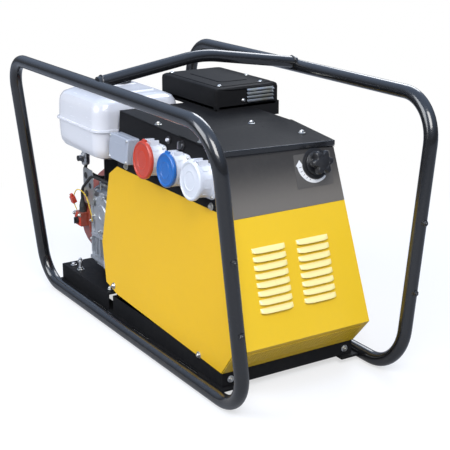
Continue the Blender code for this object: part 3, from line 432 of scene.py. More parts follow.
def roundedRectangle(width, height, radius, steps=5, x=0.0, y=0.0):
    points = []
    for quarter, (sx, sy) in enumerate(((1, 1), (-1, 1), (-1, -1), (1, -1))):
        for step in range(steps + 1):
            turn = math.pi / 2 * (quarter + step / steps)
            points.append((x + sx * (width / 2 - radius) + radius * math.cos(turn),
                           y + sy * (height / 2 - radius) + radius * math.sin(turn)))
    return points


def circle(radius, steps=32, x=0.0, y=0.0):
    return [(x + radius * math.cos(2 * math.pi * k / steps), y + radius * math.sin(2 * math.pi * k / steps))
            for k in range(steps)]


def roundedPath(corners, radii, steps=10, closed=False):
    path = []
    count = len(corners)
    for k, corner in enumerate(corners):
        corner = Vector(corner)
        if (not closed and k in (0, count - 1)) or radii[k] == 0:
            path.append(corner)
            continue
        back = (Vector(corners[k - 1]) - corner).normalized()
        ahead = (Vector(corners[(k + 1) % count]) - corner).normalized()
        half = back.angle(ahead) / 2
        reach = radii[k] / math.tan(half)
        centre = corner + (back + ahead).normalized() * (radii[k] / math.sin(half))
        first = corner + back * reach - centre
        last = corner + ahead * reach - centre
        sweep = first.angle(last)
        for step in range(steps + 1):
            share = step / steps
            path.append(centre + (first * math.sin((1 - share) * sweep) + last * math.sin(share * sweep))
                        / math.sin(sweep))
    return path


def smoothPath(points, steps=8):
    # Catmull-Rom curve through the points
    points = [Vector(point) for point in points]
    points = [points[0] * 2 - points[1], *points, points[-1] * 2 - points[-2]]
    path = []
    for a, b, c, d in zip(points, points[1:], points[2:], points[3:]):
        for step in range(steps):
            t = step / steps
            path.append(0.5 * ((2 * b) + (c - a) * t + (2 * a - 5 * b + 4 * c - d) * t ** 2
                               + (3 * b - a - 3 * c + d) * t ** 3))
    path.append(points[-2])
    return path


def refined(node, finish=None, width=0.0012, segments=2, split=None):
    # the CAD solid with its edges rounded; split gives (test, finish) for faces that take another finish
    bm = bmesh.new()
    bm.from_mesh(frame["nodes"][node].data)
    bmesh.ops.remove_doubles(bm, verts=bm.verts, dist=2e-6)
    bmesh.ops.dissolve_limit(bm, angle_limit=math.radians(0.6), verts=bm.verts, edges=bm.edges)
    soften(bm, width, segments)
    made = toObject(bm, node + "_detailed")
    made.data.materials.clear()
    made.data.materials.append(finishes[finish or finishOfSlot[slotOf[node]]])
    for face in made.data.polygons:
        face.material_index = 0
    for test, other in split or ():
        made.data.materials.append(finishes[other])
        index = len(made.data.materials) - 1
        for face in made.data.polygons:
            if test(face.center):
                face.material_index = index
    weigh(made)
    register(made, bodyOf[node], (node,))
    return made


# repeated pieces by geometry nodes

def newTree(name, inputs):
    tree = bpy.data.node_groups.new(name, "GeometryNodeTree")
    tree.is_modifier = True
    tree.interface.new_socket("Geometry", in_out="OUTPUT", socket_type="NodeSocketGeometry")
    for title, kind in inputs:
        tree.interface.new_socket(title, in_out="INPUT", socket_type=kind)
    return tree, tree.nodes.new("NodeGroupInput").outputs, tree.nodes.new("NodeGroupOutput").inputs


def addNode(tree, kind, settings=None, inputs=None):
    made = tree.nodes.new(kind)
    for key, value in (settings or {}).items():
        setattr(made, key, value)
    for key, value in (inputs or {}).items():
        if isinstance(value, bpy.types.NodeSocket):
            tree.links.new(value, made.inputs[key])
        else:
            made.inputs[key].default_value = value
    return made


def closeTree(tree, given, taken, instances):
    solid = addNode(tree, "GeometryNodeRealizeInstances", None, {0: instances})
    coated = addNode(tree, "GeometryNodeSetMaterial", None, {0: solid.outputs[0], "Material": given["Finish"]})
    tree.links.new(coated.outputs[0], taken[0])


def makeStudTree():
    # one copy of a unit at each point, facing along the point's own vector
    tree, given, taken = newTree("studs", [("Geometry", "NodeSocketGeometry"), ("Unit", "NodeSocketObject"),
                                           ("Size", "NodeSocketFloat"), ("Seed", "NodeSocketInt"),
                                           ("Finish", "NodeSocketMaterial")])
    unit = addNode(tree, "GeometryNodeObjectInfo", None, {0: given["Unit"]})
    facing = addNode(tree, "GeometryNodeInputNamedAttribute", {"data_type": "FLOAT_VECTOR"}, {"Name": "facing"})
    aligned = addNode(tree, "FunctionNodeAlignRotationToVector", {"axis": "Z"}, {"Vector": facing.outputs[0]})
    turn = addNode(tree, "FunctionNodeRandomValue", {"data_type": "FLOAT"}, {"Seed": given["Seed"]})
    turn.inputs[3].default_value = math.pi
    spin = addNode(tree, "FunctionNodeAxisAngleToRotation", None, {"Axis": (0, 0, 1), "Angle": turn.outputs[1]})
    turned = addNode(tree, "FunctionNodeRotateRotation", {"rotation_space": "LOCAL"},
                     {0: aligned.outputs[0], 1: spin.outputs[0]})
    copies = addNode(tree, "GeometryNodeInstanceOnPoints", None,
                     {"Points": given["Geometry"], "Instance": unit.outputs["Geometry"],
                      "Rotation": turned.outputs[0], "Scale": given["Size"]})
    closeTree(tree, given, taken, copies.outputs[0])
    return tree


def makeGridTree():
    # rows and columns of a unit
    tree, given, taken = newTree("rows", [("Geometry", "NodeSocketGeometry"), ("Unit", "NodeSocketObject"),
                                          ("Columns", "NodeSocketInt"), ("Rows", "NodeSocketInt"),
                                          ("Width", "NodeSocketFloat"), ("Height", "NodeSocketFloat"),
                                          ("Finish", "NodeSocketMaterial")])
    unit = addNode(tree, "GeometryNodeObjectInfo", None, {0: given["Unit"]})
    grid = addNode(tree, "GeometryNodeMeshGrid", None, {"Size X": given["Width"], "Size Y": given["Height"],
                                                        "Vertices X": given["Columns"], "Vertices Y": given["Rows"]})
    copies = addNode(tree, "GeometryNodeInstanceOnPoints", None,
                     {"Points": grid.outputs["Mesh"], "Instance": unit.outputs["Geometry"]})
    closeTree(tree, given, taken, copies.outputs[0])
    return tree


def makeRingTree():
    # units round a circle, each turned to look outward
    tree, given, taken = newTree("ring", [("Geometry", "NodeSocketGeometry"), ("Unit", "NodeSocketObject"),
                                          ("Count", "NodeSocketInt"), ("Radius", "NodeSocketFloat"),
                                          ("Finish", "NodeSocketMaterial")])
    unit = addNode(tree, "GeometryNodeObjectInfo", None, {0: given["Unit"]})
    ring = addNode(tree, "GeometryNodeMeshCircle", None, {"Vertices": given["Count"], "Radius": given["Radius"]})
    position = addNode(tree, "GeometryNodeInputPosition")
    aligned = addNode(tree, "FunctionNodeAlignRotationToVector", {"axis": "X"}, {"Vector": position.outputs[0]})
    copies = addNode(tree, "GeometryNodeInstanceOnPoints", None,
                     {"Points": ring.outputs[0], "Instance": unit.outputs["Geometry"],
                      "Rotation": aligned.outputs[0]})
    closeTree(tree, given, taken, copies.outputs[0])
    return tree


trees = {"studs": makeStudTree(), "rows": makeGridTree(), "ring": makeRingTree()}


def repeat(name, kind, bm, finish, matrix, settings, points=(), body="root"):
    # runs one of the trees and keeps its result as a plain mesh
    bmesh.ops.recalc_face_normals(bm, faces=bm.faces)
    unit = toObject(bm, name + "_unit")
    mesh = bpy.data.meshes.new(name + "_points")
    mesh.from_pydata([tuple(point) for point, facing in points] or [(0, 0, 0)], [], [])
    facing = mesh.attributes.new("facing", "FLOAT_VECTOR", "POINT")
    for k, (point, way) in enumerate(points):
        facing.data[k].vector = way
    holder = bpy.data.objects.new(name + "_holder", mesh)
    scene.collection.objects.link(holder)
    modifier = holder.modifiers.new("repeat", "NODES")
    modifier.node_group = trees[kind]
    values = {"Unit": unit, "Finish": finishes[finish], **settings}
    for item in trees[kind].interface.items_tree:
        if item.in_out == "INPUT" and item.name in values:
            modifier[item.identifier] = values[item.name]
    bpy.context.view_layer.update()
    evaluated = holder.evaluated_get(bpy.context.evaluated_depsgraph_get())
    result = bpy.data.meshes.new_from_object(evaluated)
    result.transform(matrix)
    result.name = name
    made = bpy.data.objects.new(name, result)
    scene.collection.objects.link(made)
    holder.modifiers.remove(modifier)
    bpy.data.objects.remove(holder)
    bpy.data.objects.remove(unit)
    register(made, body)
    return made


# places on the sloping housing

louvreLow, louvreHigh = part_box("louvre_panel")
controlLow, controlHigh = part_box("control_panel")
housing = {"frontSlope": 0.287, "sideSlope": 0.077, "creaseZ": 0.110, "footZ": louvreLow.z}
seamZ = controlLow.z


def frontX(z):
    return louvreHigh.x - (z - housing["creaseZ"]) * housing["frontSlope"]


def sideY(z):
    return controlHigh.y + (seamZ - z) * housing["sideSlope"]


def frontPlace(y, z):
    # X across the front, Y up the slope, Z out of it
    return basis((frontX(z), y, z), (0, 1, 0), (-housing["frontSlope"], 0, 1))


def sidePlace(x, z, side=-1):
    # X along the side, Y up it, Z out of it
    return basis((x, side * sideY(z), z), (-side, 0, 0), (0, -side * housing["sideSlope"], 1))


def onto(matrix, x=0.0, y=0.0, z=0.0):
    # a point and its outward way, for the stud tree
    return matrix @ Vector((x, y, z)), matrix.to_3x3() @ Vector((0, 0, 1))


# carrying frame

tubes = {"radius": 0.015, "sides": 40, "bends": (0.075, 0.095, 0.095, 0.075), "barRadius": 0.0135, "bead": 0.0018}


def makeLoop(node):
    low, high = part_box(node)
    side = 1 if low.y > 0 else -1
    reach = tubes["radius"]
    inner = (abs(low.y) if side > 0 else abs(high.y)) + reach - 0.0002
    outer = (high.y if side > 0 else -low.y) - reach + 0.0001
    bottom = low.z + reach
    top = high.z - reach
    front = high.x - reach
    corners = [(-front, side * inner, bottom), (front, side * inner, bottom),
               (front, side * outer, top), (-front, side * outer, top)]
    bm = bmesh.new()
    addTube(bm, roundedPath(corners, tubes["bends"], 14, True), reach, tubes["sides"], True)
    place(bm, node + "_tube", "frameEnamel", slot="frame_black", stands=(node,))
    return corners


def lumpy(size, seed):
    return lambda share: size * (1 + 0.16 * noise.noise(Vector((share * 38, seed, 0))))


def makeBar():
    low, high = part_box("lifting_bar")
    middle = (low.x + high.x) / 2
    reach = high.y - 0.0005
    crest = high.z - tubes["barRadius"] - 0.0002
    seat = low.z + 0.0115
    seat -= 0.004
    path = roundedPath([(middle, 0.003 - reach, seat), (middle, 0, crest + 0.001), (middle, reach - 0.003, seat)],
                       (0, 0.28, 0), 14)
    bm = bmesh.new()
    addTube(bm, path, tubes["barRadius"], 36)
    place(bm, "lifting_bar_tube", "frameEnamel", slot="frame_black", stands=("lifting_bar",))
    bm = bmesh.new()
    for side in (-1, 1):
        ring = []
        for k in range(48):
            turn = 2 * math.pi * k / 48
            x = math.cos(turn) * (tubes["barRadius"] + 0.0006)
            up = math.sin(turn) * (tubes["barRadius"] + 0.0006)
            under = max(0.0, tubes["radius"] ** 2 - min(up - 0.011, 0.0148) ** 2 * 0.2)
            drop = tubes["radius"] - math.sqrt(under) * 0.9
            ring.append((middle + x, side * (reach - 0.0105 + drop * 0.3 - abs(up) * 0.1), seat + up + 0.0015))
        addTube(bm, ring, lumpy(tubes["bead"], side), 12, True)
    place(bm, "bar_weld_beads", "frameEnamel", slot="frame_black")


def makeFootWelds(corners):
    # short fillets that hold the rails and the tray to the bottom tubes
    bm = bmesh.new()
    y = corners[0][1]
    side = 1 if y > 0 else -1
    for k, x in enumerate((-0.40, -0.30, -0.115, -0.095, 0.10, 0.12, 0.315, 0.335)):
        path = [(x + step * 0.0028, y - side * 0.0137, 0.0195 + 0.0006 * (step % 2)) for step in range(9)]
        addTube(bm, path, lumpy(0.0030, k), 10)
    place(bm, "rail_welds_" + ("left" if side > 0 else "right"), "coverBlack", slot="frame_black")


loopCorners = {node: makeLoop(node) for node in ("frame_loop_right", "frame_loop_left")}
makeBar()
for corners in loopCorners.values():
    makeFootWelds(corners)
print("carrying frame made")


# sheet metal and engine solids with rounded edges

softNodes = {
    "side_panel_right": 0.0006, "side_panel_left": 0.0006, "louvre_panel": 0.0006, "control_panel": 0.0006,
    "socket_panel": 0.0006, "output_panel": 0.0006, "top_cover": 0.0008, "bulkhead": 0.0005, "control_shelf": 0.0006,
    "base_tray": 0.0012, "engine_bridge": 0.0014, "base_rail_right": 0.0010, "base_rail_left": 0.0010,
    "exhaust_cover": 0.0006, "tank_bracket": 0.0010, "crankcase": 0.0016, "cylinder": 0.0006,
    "cylinder_head": 0.0012, "carburettor": 0.0016, "engine_mount_front": 0.0008, "engine_mount_rear": 0.0008,
    "flywheel": 0.0008, "starter_pulley": 0.0006, "drive_shaft": 0.0006, "generator_rotor": 0.0006,
    "spark_plug_cap": 0.0012, "rectifier": 0.0005, "rheostat": 0.0008, "choke_lever": 0.0007,
    "throttle_lever": 0.0007, "fuel_lever": 0.0007, "breaker_button": 0.0005, "selector_key": 0.0005,
    "engine_switch": 0.0006, "breaker_block": 0.0004, "air_cleaner": 0.0012, "generator_adapter": 0.0010,
}
for node, width in softNodes.items():
    refined(node, width=width)
refined("stator", "laminations", 0.0010)
refined("output_reactor", "laminations", 0.0010)
refined("muffler", "hotIron", 0.0014)
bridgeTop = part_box("engine_bridge")[1].z
tankLow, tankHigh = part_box("fuel_tank")
tankFloor = tankHigh.z - 0.158
refined("fan_cover", "fanRed", 0.0010)
print("solids refined:", len(softNodes) + 4)


# front of the housing

louvres = {"columns": 2, "rows": 8, "spread": 0.110, "pitch": 0.0177, "width": 0.081, "height": 0.0120,
           "depth": 0.0062, "wall": 0.0009, "firstZ": 0.071}


def hoodSheet():
    # one pressed hood: flush along its upper edge and ends, open below
    bm = bmesh.new()
    across = 18
    down = 6
    half = louvres["width"] / 2

    def height(u, v):
        ends = max(0.0, 1 - abs(u) ** 7) ** 0.5
        return louvres["depth"] * ends * math.sin(v * math.pi / 2) ** 0.85

    skins = []
    for drop in (0.0, louvres["wall"]):
        grid = []
        for j in range(down + 1):
            v = j / down
            row = []
            for i in range(across + 1):
                u = math.sin((i / across - 0.5) * math.pi)
                x = u * half
                y = louvres["height"] * (0.5 - v) + 0.0030 * abs(u) ** 5 * v
                row.append(bm.verts.new((x, y, height(u, v) - drop + 0.0002)))
            grid.append(row)
        skins.append(grid)
    top, under = skins
    for j in range(down):
        for i in range(across):
            bm.faces.new((top[j][i], top[j + 1][i], top[j + 1][i + 1], top[j][i + 1]))
            bm.faces.new((under[j][i], under[j][i + 1], under[j + 1][i + 1], under[j + 1][i]))
    rim = [(0, i) for i in range(across)] + [(j, across) for j in range(down)]
    rim += [(down, i) for i in range(across, 0, -1)] + [(j, 0) for j in range(down, 0, -1)]
    for (ja, ia), (jb, ib) in zip(rim, rim[1:] + rim[:1]):
        bm.faces.new((top[ja][ia], top[jb][ib], under[jb][ib], under[ja][ia]))
    return bm


slopeStretch = math.hypot(1, housing["frontSlope"])
louvreMiddleZ = housing["creaseZ"] + louvres["firstZ"] + louvres["pitch"] * 3.5 / slopeStretch
# the hoods are the front sheet's yellow made paler: painted highlight
repeat("louvre_hoods", "rows", hoodSheet(), "hoodYellow", frontPlace(0, louvreMiddleZ),
       {"Columns": louvres["columns"], "Rows": louvres["rows"], "Width": louvres["spread"],
        "Height": louvres["pitch"] * (louvres["rows"] - 1)})

grille = {"columns": 44, "rows": 8, "stepX": 0.0072, "stepY": 0.0056, "slotX": 0.0054, "slotY": 0.0030,
          "wall": 0.0008, "lift": 0.0007}


def stripPlace(share):
    # on the folded strip under the crease; share 0 at its foot, 1 at the crease
    foot = Vector((louvreHigh.x - 0.050, 0, housing["footZ"]))
    rise = Vector((0.050, 0, housing["creaseZ"] - housing["footZ"]))
    return basis(foot + rise * share, (0, 1, 0), rise)


def grilleCell():
    # a tile of perforated sheet: a rectangle round a slot
    bm = bmesh.new()
    outer = roundedRectangle(grille["stepX"], grille["stepY"], 0.0001, 1)
    inner = roundedRectangle(grille["slotX"], grille["slotY"], 0.0013, 1)
    rings = []
    for z, outline in ((0, inner), (0, outer), (grille["wall"], outer), (grille["wall"], inner)):
        rings.append([bm.verts.new((x, y, z)) for x, y in outline])
    for low, high in zip(rings, rings[1:] + rings[:1]):
        for s in range(len(low)):
            t = (s + 1) % len(low)
            bm.faces.new((low[s], low[t], high[t], high[s]))
    return bm


grilleShare = 0.56
gridPlace = stripPlace(grilleShare) @ Matrix.Translation((0, 0, grille["lift"]))
repeat("grille_perforations", "rows", grilleCell(), "frontYellow", gridPlace,
       {"Columns": grille["columns"], "Rows": grille["rows"], "Width": grille["stepX"] * (grille["columns"] - 1),
        "Height": grille["stepY"] * (grille["rows"] - 1)})
# black sheet just under the perforated cells: painted shade of the dark inside seen through the holes
bm = bmesh.new()
addPlate(bm, roundedRectangle(grille["stepX"] * grille["columns"] - 0.002, grille["stepY"] * grille["rows"] - 0.001,
                              0.002), gridPlace, -0.0005, -0.0001)
place(bm, "grille_backing", "blackPlastic", slot="cover_black")
print("louvres and grille made")

# current dial: black disc, tapered white scale and its label
dial = {"disc": 0.0325, "discDepth": 0.0022, "label": (0.094, 0.072), "ticks": 5, "scale": 0.0345, "lobes": 6}
knobSpot = Vector(joints["knob_turn"]["pos_m"])
dialPlace = frontPlace(knobSpot.y, knobSpot.z)
bm = bmesh.new()
addPlate(bm, roundedRectangle(*dial["label"], 0.004, 6, -0.006, -0.013), dialPlace, 0.0001, 0.0006)
place(bm, "dial_label_plate", "dialGrey", slot="panel_grey", width=0.0002)
bm = bmesh.new()
outline = [((dial["scale"] + reach) * math.cos(math.radians(turn)),
            (dial["scale"] + reach) * math.sin(math.radians(turn)))
           for reach, turn in ((-0.0010, 178), (0.0065, 164), (0.0150, 180))]
back = []
for k in range(41):
    turn = math.radians(184 + 122 * k / 40)
    wide = 0.0040 + 0.0085 * (1 - k / 40) ** 1.1
    outline.append(((dial["scale"] + wide) * math.cos(turn), (dial["scale"] + wide) * math.sin(turn)))
    back.append((dial["scale"] * math.cos(turn), dial["scale"] * math.sin(turn)))
addPlate(bm, outline + back[::-1], dialPlace, 0.0007, 0.0011)
place(bm, "dial_scale", "dialWhite", slot="white_plastic")
bm = bmesh.new()
for k in range(dial["ticks"]):
    turn = math.radians(186 + 54 * k / (dial["ticks"] - 1))
    tickPlace = dialPlace @ Matrix.Rotation(turn, 4, "Z")
    addBox(bm, (0.0360, -0.0004, 0.0010), (0.0372 + 0.0060 * (1 - 0.85 * k / dial["ticks"]), 0.0004, 0.0014),
           tickPlace)
place(bm, "dial_ticks", "blackPlastic", slot="black_plastic")
bm = bmesh.new()
addLathe(bm, [(0.0105, 0.0012), (0.0105, dial["discDepth"]), (0.012, dial["discDepth"] + 0.0004),
              (dial["disc"] - 0.002, dial["discDepth"]), (dial["disc"], 0.0016), (dial["disc"], 0.0012)],
         dialPlace, 72)
place(bm, "dial_disc", "blackPlastic", slot="black_plastic")


def starRing(size, z, depth, count=120):
    # outline of the star grip at one height
    ring = []
    for k in range(count):
        turn = 2 * math.pi * k / count
        lobe = 0.5 + 0.5 * math.cos(dial["lobes"] * turn)
        reach = size * (1 - depth * (1 - lobe) ** 1.4)
        ring.append((reach * math.cos(turn), reach * math.sin(turn), z))
    return ring


levels = [(0.0250, 0.0030, 0.0), (0.0255, 0.0040, 0.0), (0.0255, 0.0066, 0.0), (0.0245, 0.0078, 0.0),
          (0.0160, 0.0094, 0.0), (0.0135, 0.0120, 0.0), (0.0135, 0.0160, 0.02), (0.0190, 0.0172, 0.14),
          (0.0255, 0.0182, 0.30), (0.0268, 0.0200, 0.34), (0.0268, 0.0286, 0.34), (0.0260, 0.0312, 0.33),
          (0.0240, 0.0328, 0.30), (0.0200, 0.0336, 0.24), (0.0150, 0.0338, 0.12), (0.0140, 0.0332, 0.05),
          (0.0130, 0.0331, 0.0), (0.0080, 0.0336, 0.0), (0.0014, 0.0338, 0.0)]
bm = bmesh.new()
addLoft(bm, [starRing(*level) for level in levels], dialPlace)
addBox(bm, (-0.0009, 0.0120, 0.0332), (0.0009, 0.0215, 0.0341), dialPlace)
spindle = [(0.0039, -0.0135), (0.0039, 0.0040), (0, 0.0040)]
addLathe(bm, [(0, -0.0135), *spindle], dialPlace, 24)
place(bm, "current_knob_star", "blackPlastic", "current_knob", "black_plastic", ("current_knob",))
print("dial and knob made")


# mains sockets on the near side

sockets = {"flange": 0.0715, "flangeDepth": 0.0058, "mouth": 0.024, "mouthDepth": 0.0197, "barrel": 0.0345,
           "lidDepth": 0.0100}


def squircle(size, power, z, count=64):
    ring = []
    for k in range(count):
        turn = 2 * math.pi * k / count
        c = math.cos(turn)
        s = math.sin(turn)
        reach = size / (abs(c) ** power + abs(s) ** power) ** (1 / power)
        ring.append((reach * c, reach * s, z))
    return ring


flangeScrews = []


def makeSocket(name, finish, paintName):
    node = "power_socket_" + name
    lidNode = "socket_lid_" + name
    low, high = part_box(node)
    lidLow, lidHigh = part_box(lidNode)
    x = (low.x + high.x) / 2
    face = sidePlace(x, 0.440)
    lidReach = (lidHigh.x - lidLow.x) / 2
    lidBase = 0.0333
    half = sockets["flange"] / 2
    rings = [squircle(half - 0.001, 9, 0.0004), squircle(half, 9, 0.0012), squircle(half, 9, 0.0048),
             squircle(half - 0.0012, 8, sockets["flangeDepth"]), squircle(half - 0.0030, 5, 0.0062),
             squircle(sockets["barrel"] + 0.0004, 2.6, 0.0100), squircle(sockets["barrel"], 2, 0.0160),
             squircle(sockets["barrel"] - 0.0006, 2, 0.0255), squircle(sockets["barrel"] + 0.0010, 2, 0.0262),
             squircle(sockets["barrel"] + 0.0010, 2, 0.0308), squircle(sockets["barrel"], 2, 0.0316),
             squircle(sockets["barrel"] - 0.0030, 2, 0.0322), squircle(sockets["mouth"] + 0.002, 2, 0.0322),
             squircle(sockets["mouth"], 2, 0.0316), squircle(sockets["mouth"], 2, lidBase - sockets["mouthDepth"]),
             squircle(0.006, 2, lidBase - sockets["mouthDepth"])]
    bm = bmesh.new()
    addLoft(bm, rings, face)
    earTop = lidReach + 0.0010
    for side in (-1, 1):
        addBox(bm, (side * 0.0105 - 0.0024, sockets["barrel"] - 0.004, 0.0080),
               (side * 0.0105 + 0.0024, earTop + 0.001, lidBase - 0.0042), face)
    addLathe(bm, [(0, -0.0125), (0.0020, -0.0125), (0.0020, 0.0125), (0, 0.0125)],
             face @ Matrix.Translation((0, earTop - 0.0032, lidBase - 0.0068))
             @ Matrix.Rotation(math.pi / 2, 4, "Y"), 14)
    for k in range(12):
        turn = 2 * math.pi * k / 12 + 0.26
        rib = face @ Matrix.Rotation(turn, 4, "Z")
        addBox(bm, (sockets["barrel"] - 0.003, -0.0011, 0.0120), (sockets["barrel"] + 0.0008, 0.0011, 0.0258), rib)
    place(bm, node + "_body", finish, slot=slotOf[node], stands=(node,), width=0.0004)
    bm = bmesh.new()
    pins = ((0.0, 0.0095), (0.0085, -0.003), (-0.0085, -0.003))
    for px, py in pins:
        addLathe(bm, [(0, 0.0128), (0.0030, 0.0128), (0.0030, 0.0290), (0.0018, 0.0308), (0, 0.0308)],
                 face @ Matrix.Translation((px, py, 0)), 16)
    place(bm, node + "_pins", "zinc", slot="steel")
    # sprung lid with a raised rim, hinge knuckle and finger tab
    bm = bmesh.new()
    top = lidBase + sockets["lidDepth"]
    profile = [(0, lidBase + 0.0004), (lidReach - 0.0016, lidBase + 0.0004), (lidReach - 0.0004, lidBase + 0.0012),
               (lidReach, lidBase + 0.0030), (lidReach, lidBase + 0.0062), (lidReach - 0.0010, top - 0.0020),
               (lidReach - 0.0034, top - 0.0006), (lidReach - 0.0056, top - 0.0010),
               (lidReach - 0.0068, top - 0.0024),
               (lidReach - 0.0090, top - 0.0026), (lidReach * 0.55, top - 0.0016), (lidReach * 0.52, top - 0.0009),
               (lidReach * 0.47, top - 0.0009), (lidReach * 0.44, top - 0.0017), (lidReach * 0.2, top - 0.0013),
               (0, top - 0.0012)]
    addLathe(bm, profile, face, 96)
    knuckle = face @ Matrix.Translation((0, lidReach + 0.0002, lidBase + 0.0034))
    knuckle = knuckle @ Matrix.Rotation(math.pi / 2, 4, "Y")
    addLathe(bm, [(0, -0.0068), (0.0030, -0.0068), (0.0034, -0.0062), (0.0034, 0.0062), (0.0030, 0.0068),
                  (0, 0.0068)],
             knuckle, 24)
    addPlate(bm, roundedRectangle(0.012, 0.008, 0.0015, 4, 0, lidReach - 0.0032), face, lidBase + 0.0010,
             lidBase + 0.0066)
    place(bm, lidNode + "_disc", paintName, "lid_" + name, slotOf[lidNode], (lidNode,), 0.0004)
    for sx in (-1, 1):
        for sy in (-1, 1):
            flangeScrews.append(onto(face, sx * 0.0300, sy * 0.0300, sockets["flangeDepth"]))


makeSocket("large", "whitePlastic", "redPlastic")
makeSocket("middle", "whitePlastic", "bluePlastic")
makeSocket("small", "whitePlastic", "whitePlastic")

boxLow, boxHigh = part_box("terminal_box")
terminal = {"x": (boxLow.x + boxHigh.x) / 2, "z": 0.437, "width": 0.0918, "height": 0.0598}
face = sidePlace(terminal["x"], terminal["z"])
bm = bmesh.new()
outlines = [(0.0, 0.0, 0.0004), (0.0, 0.0, 0.0150), (0.0012, 0.0012, 0.0156), (0.0012, 0.0012, 0.0168),
            (0.0, 0.0, 0.0174), (0.0004, 0.0004, 0.0270), (0.0016, 0.0016, 0.0288), (0.0036, 0.0036, 0.0294)]
addLoft(bm, [[(x, y, z) for x, y in
              roundedRectangle(terminal["width"] - 2 * a, terminal["height"] - 2 * b, 0.0045, 6)]
             for a, b, z in outlines], face)
addPlate(bm, roundedRectangle(0.060, 0.026, 0.003, 5, 0.004, 0.0), face, 0.0292, 0.0298)
place(bm, "terminal_box_cover", "greyPlastic", slot="grey_plastic", stands=("terminal_box",), width=0.0003)
for sx in (-1, 1):
    for sy in (-1, 1):
        flangeScrews.append(onto(face, sx * 0.0400, sy * 0.0240, 0.0292))

for node in ("weld_socket_positive", "weld_socket_negative"):
    low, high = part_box(node)
    face = sidePlace((low.x + high.x) / 2, 0.426, 1)
    bm = bmesh.new()
    addLathe(bm, [(0, 0.0042), (0.0075, 0.0042), (0.0075, 0.0188), (0.0088, 0.0198), (0.0172, 0.0198),
                  (0.0188, 0.0188), (0.0196, 0.0150), (0.0220, 0.0122), (0.0229, 0.0104), (0.0229, 0.0006),
                  (0, 0.0006)], face, 64)
    for k in range(20):
        rib = face @ Matrix.Rotation(2 * math.pi * k / 20, 4, "Z")
        addBox(bm, (0.0176, -0.0008, 0.0128), (0.0201, 0.0008, 0.0186), rib)
    place(bm, node + "_collar", "blackPlastic", slot="black_plastic", stands=(node,))
    bm = bmesh.new()
    addLathe(bm, [(0.0070, 0.0046), (0.0070, 0.0180), (0.0074, 0.0180), (0.0074, 0.0046)], face, 32)
    place(bm, node + "_sleeve", "copper", slot="copper")
print("sockets made")


# exhaust cover on the top

coverLow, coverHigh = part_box("exhaust_cover")
lidPlate = {"inset": 0.012, "height": 0.0018, "pressing": (0.150, 0.084)}
middle = (coverLow + coverHigh) / 2
bm = bmesh.new()
topPlace = Matrix.Translation((middle.x, middle.y, coverHigh.z))
size = coverHigh - coverLow
addLoft(bm, [[(x, y, z) for x, y in
              roundedRectangle(size.x - 2 * lidPlate["inset"] - a, size.y - 2 * lidPlate["inset"] - a, 0.010, 6)]
             for a, z in ((0, 0.0001), (0, 0.0008), (0.004, lidPlate["height"]))], topPlace)
addLoft(bm, [[(x, y, z) for x, y in
              roundedRectangle(lidPlate["pressing"][0] - a, lidPlate["pressing"][1] - a, 0.014, 6)]
             for a, z in ((0, 0.0012), (0.002, 0.0030), (0.008, 0.0036))], topPlace)
place(bm, "exhaust_cover_top", "coverBlack", slot="cover_black", width=0.0002)
bm = bmesh.new()
for k in range(4):
    slotZ = coverLow.z + 0.0122 + k * 0.0085
    lip = basis((coverHigh.x, coverHigh.y - 0.054, slotZ + 0.0026), (0, 1, 0), (0, 0, 1))
    rings = []
    for share in range(7):
        turn = math.pi / 2 * share / 6
        rings.append([(x, 0.0018 - 0.0052 * math.sin(turn), 0.0058 * (1 - math.cos(turn)) ** 0.8 + z)
                      for x, z in ((-0.0365, 0.0), (0.0365, 0.0), (0.0365, 0.0009), (-0.0365, 0.0009))])
    addLoft(bm, rings, lip)
place(bm, "exhaust_cover_louvres", "zinc", slot="steel")
bm = bmesh.new()
addTube(bm, smoothPath([(coverHigh.x - 0.004, coverLow.y + 0.012, coverHigh.z - 0.004),
                        (coverHigh.x + 0.0012, coverLow.y + 0.050, coverHigh.z - 0.0055),
                        (coverHigh.x + 0.0012, coverHigh.y - 0.020, coverHigh.z - 0.0055)], 6), 0.0016, 12)
place(bm, "exhaust_cover_bead", "coverBlack", slot="cover_black")
# its skirt hangs outside the housing on the exhaust side
bm = bmesh.new()
skirtLow = coverLow.z - 0.027
housingSide = sideY(coverLow.z) + 0.008
hang = coverLow.z + 0.006
for low, high in (((coverHigh.x - 0.0014, housingSide, skirtLow), (coverHigh.x, coverHigh.y, hang)),
                  ((coverHigh.x - 0.0014, coverLow.y + 0.004, coverLow.z - 0.006), (coverHigh.x, housingSide, hang)),
                  ((coverLow.x + 0.004, coverLow.y, coverLow.z - 0.006),
                   (coverHigh.x - 0.004, coverLow.y + 0.0014, hang)),
                  ((coverLow.x, coverHigh.y - 0.0014, skirtLow), (coverHigh.x, coverHigh.y, hang)),
                  ((coverLow.x, housingSide, skirtLow), (coverLow.x + 0.0014, coverHigh.y, hang))):
    addBox(bm, low, high)
place(bm, "exhaust_cover_skirt", "coverBlack", slot="cover_black")

# front leaf of the top cover: its bend, its far corner lifted, and the folded lip along its edge
topLow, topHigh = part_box("top_cover")
leaf = {"bendX": 0.139, "bendZ": 0.5090, "near": 0.5032, "far": 0.4925, "sheet": 0.0010, "lip": 0.0105}


def leafZ(x, y):
    across = (y - topLow.y) / (topHigh.y - topLow.y)
    edge = leaf["near"] + (leaf["far"] - leaf["near"]) * across
    return leaf["bendZ"] + (edge - leaf["bendZ"]) * (x - leaf["bendX"]) / (topHigh.x - leaf["bendX"])


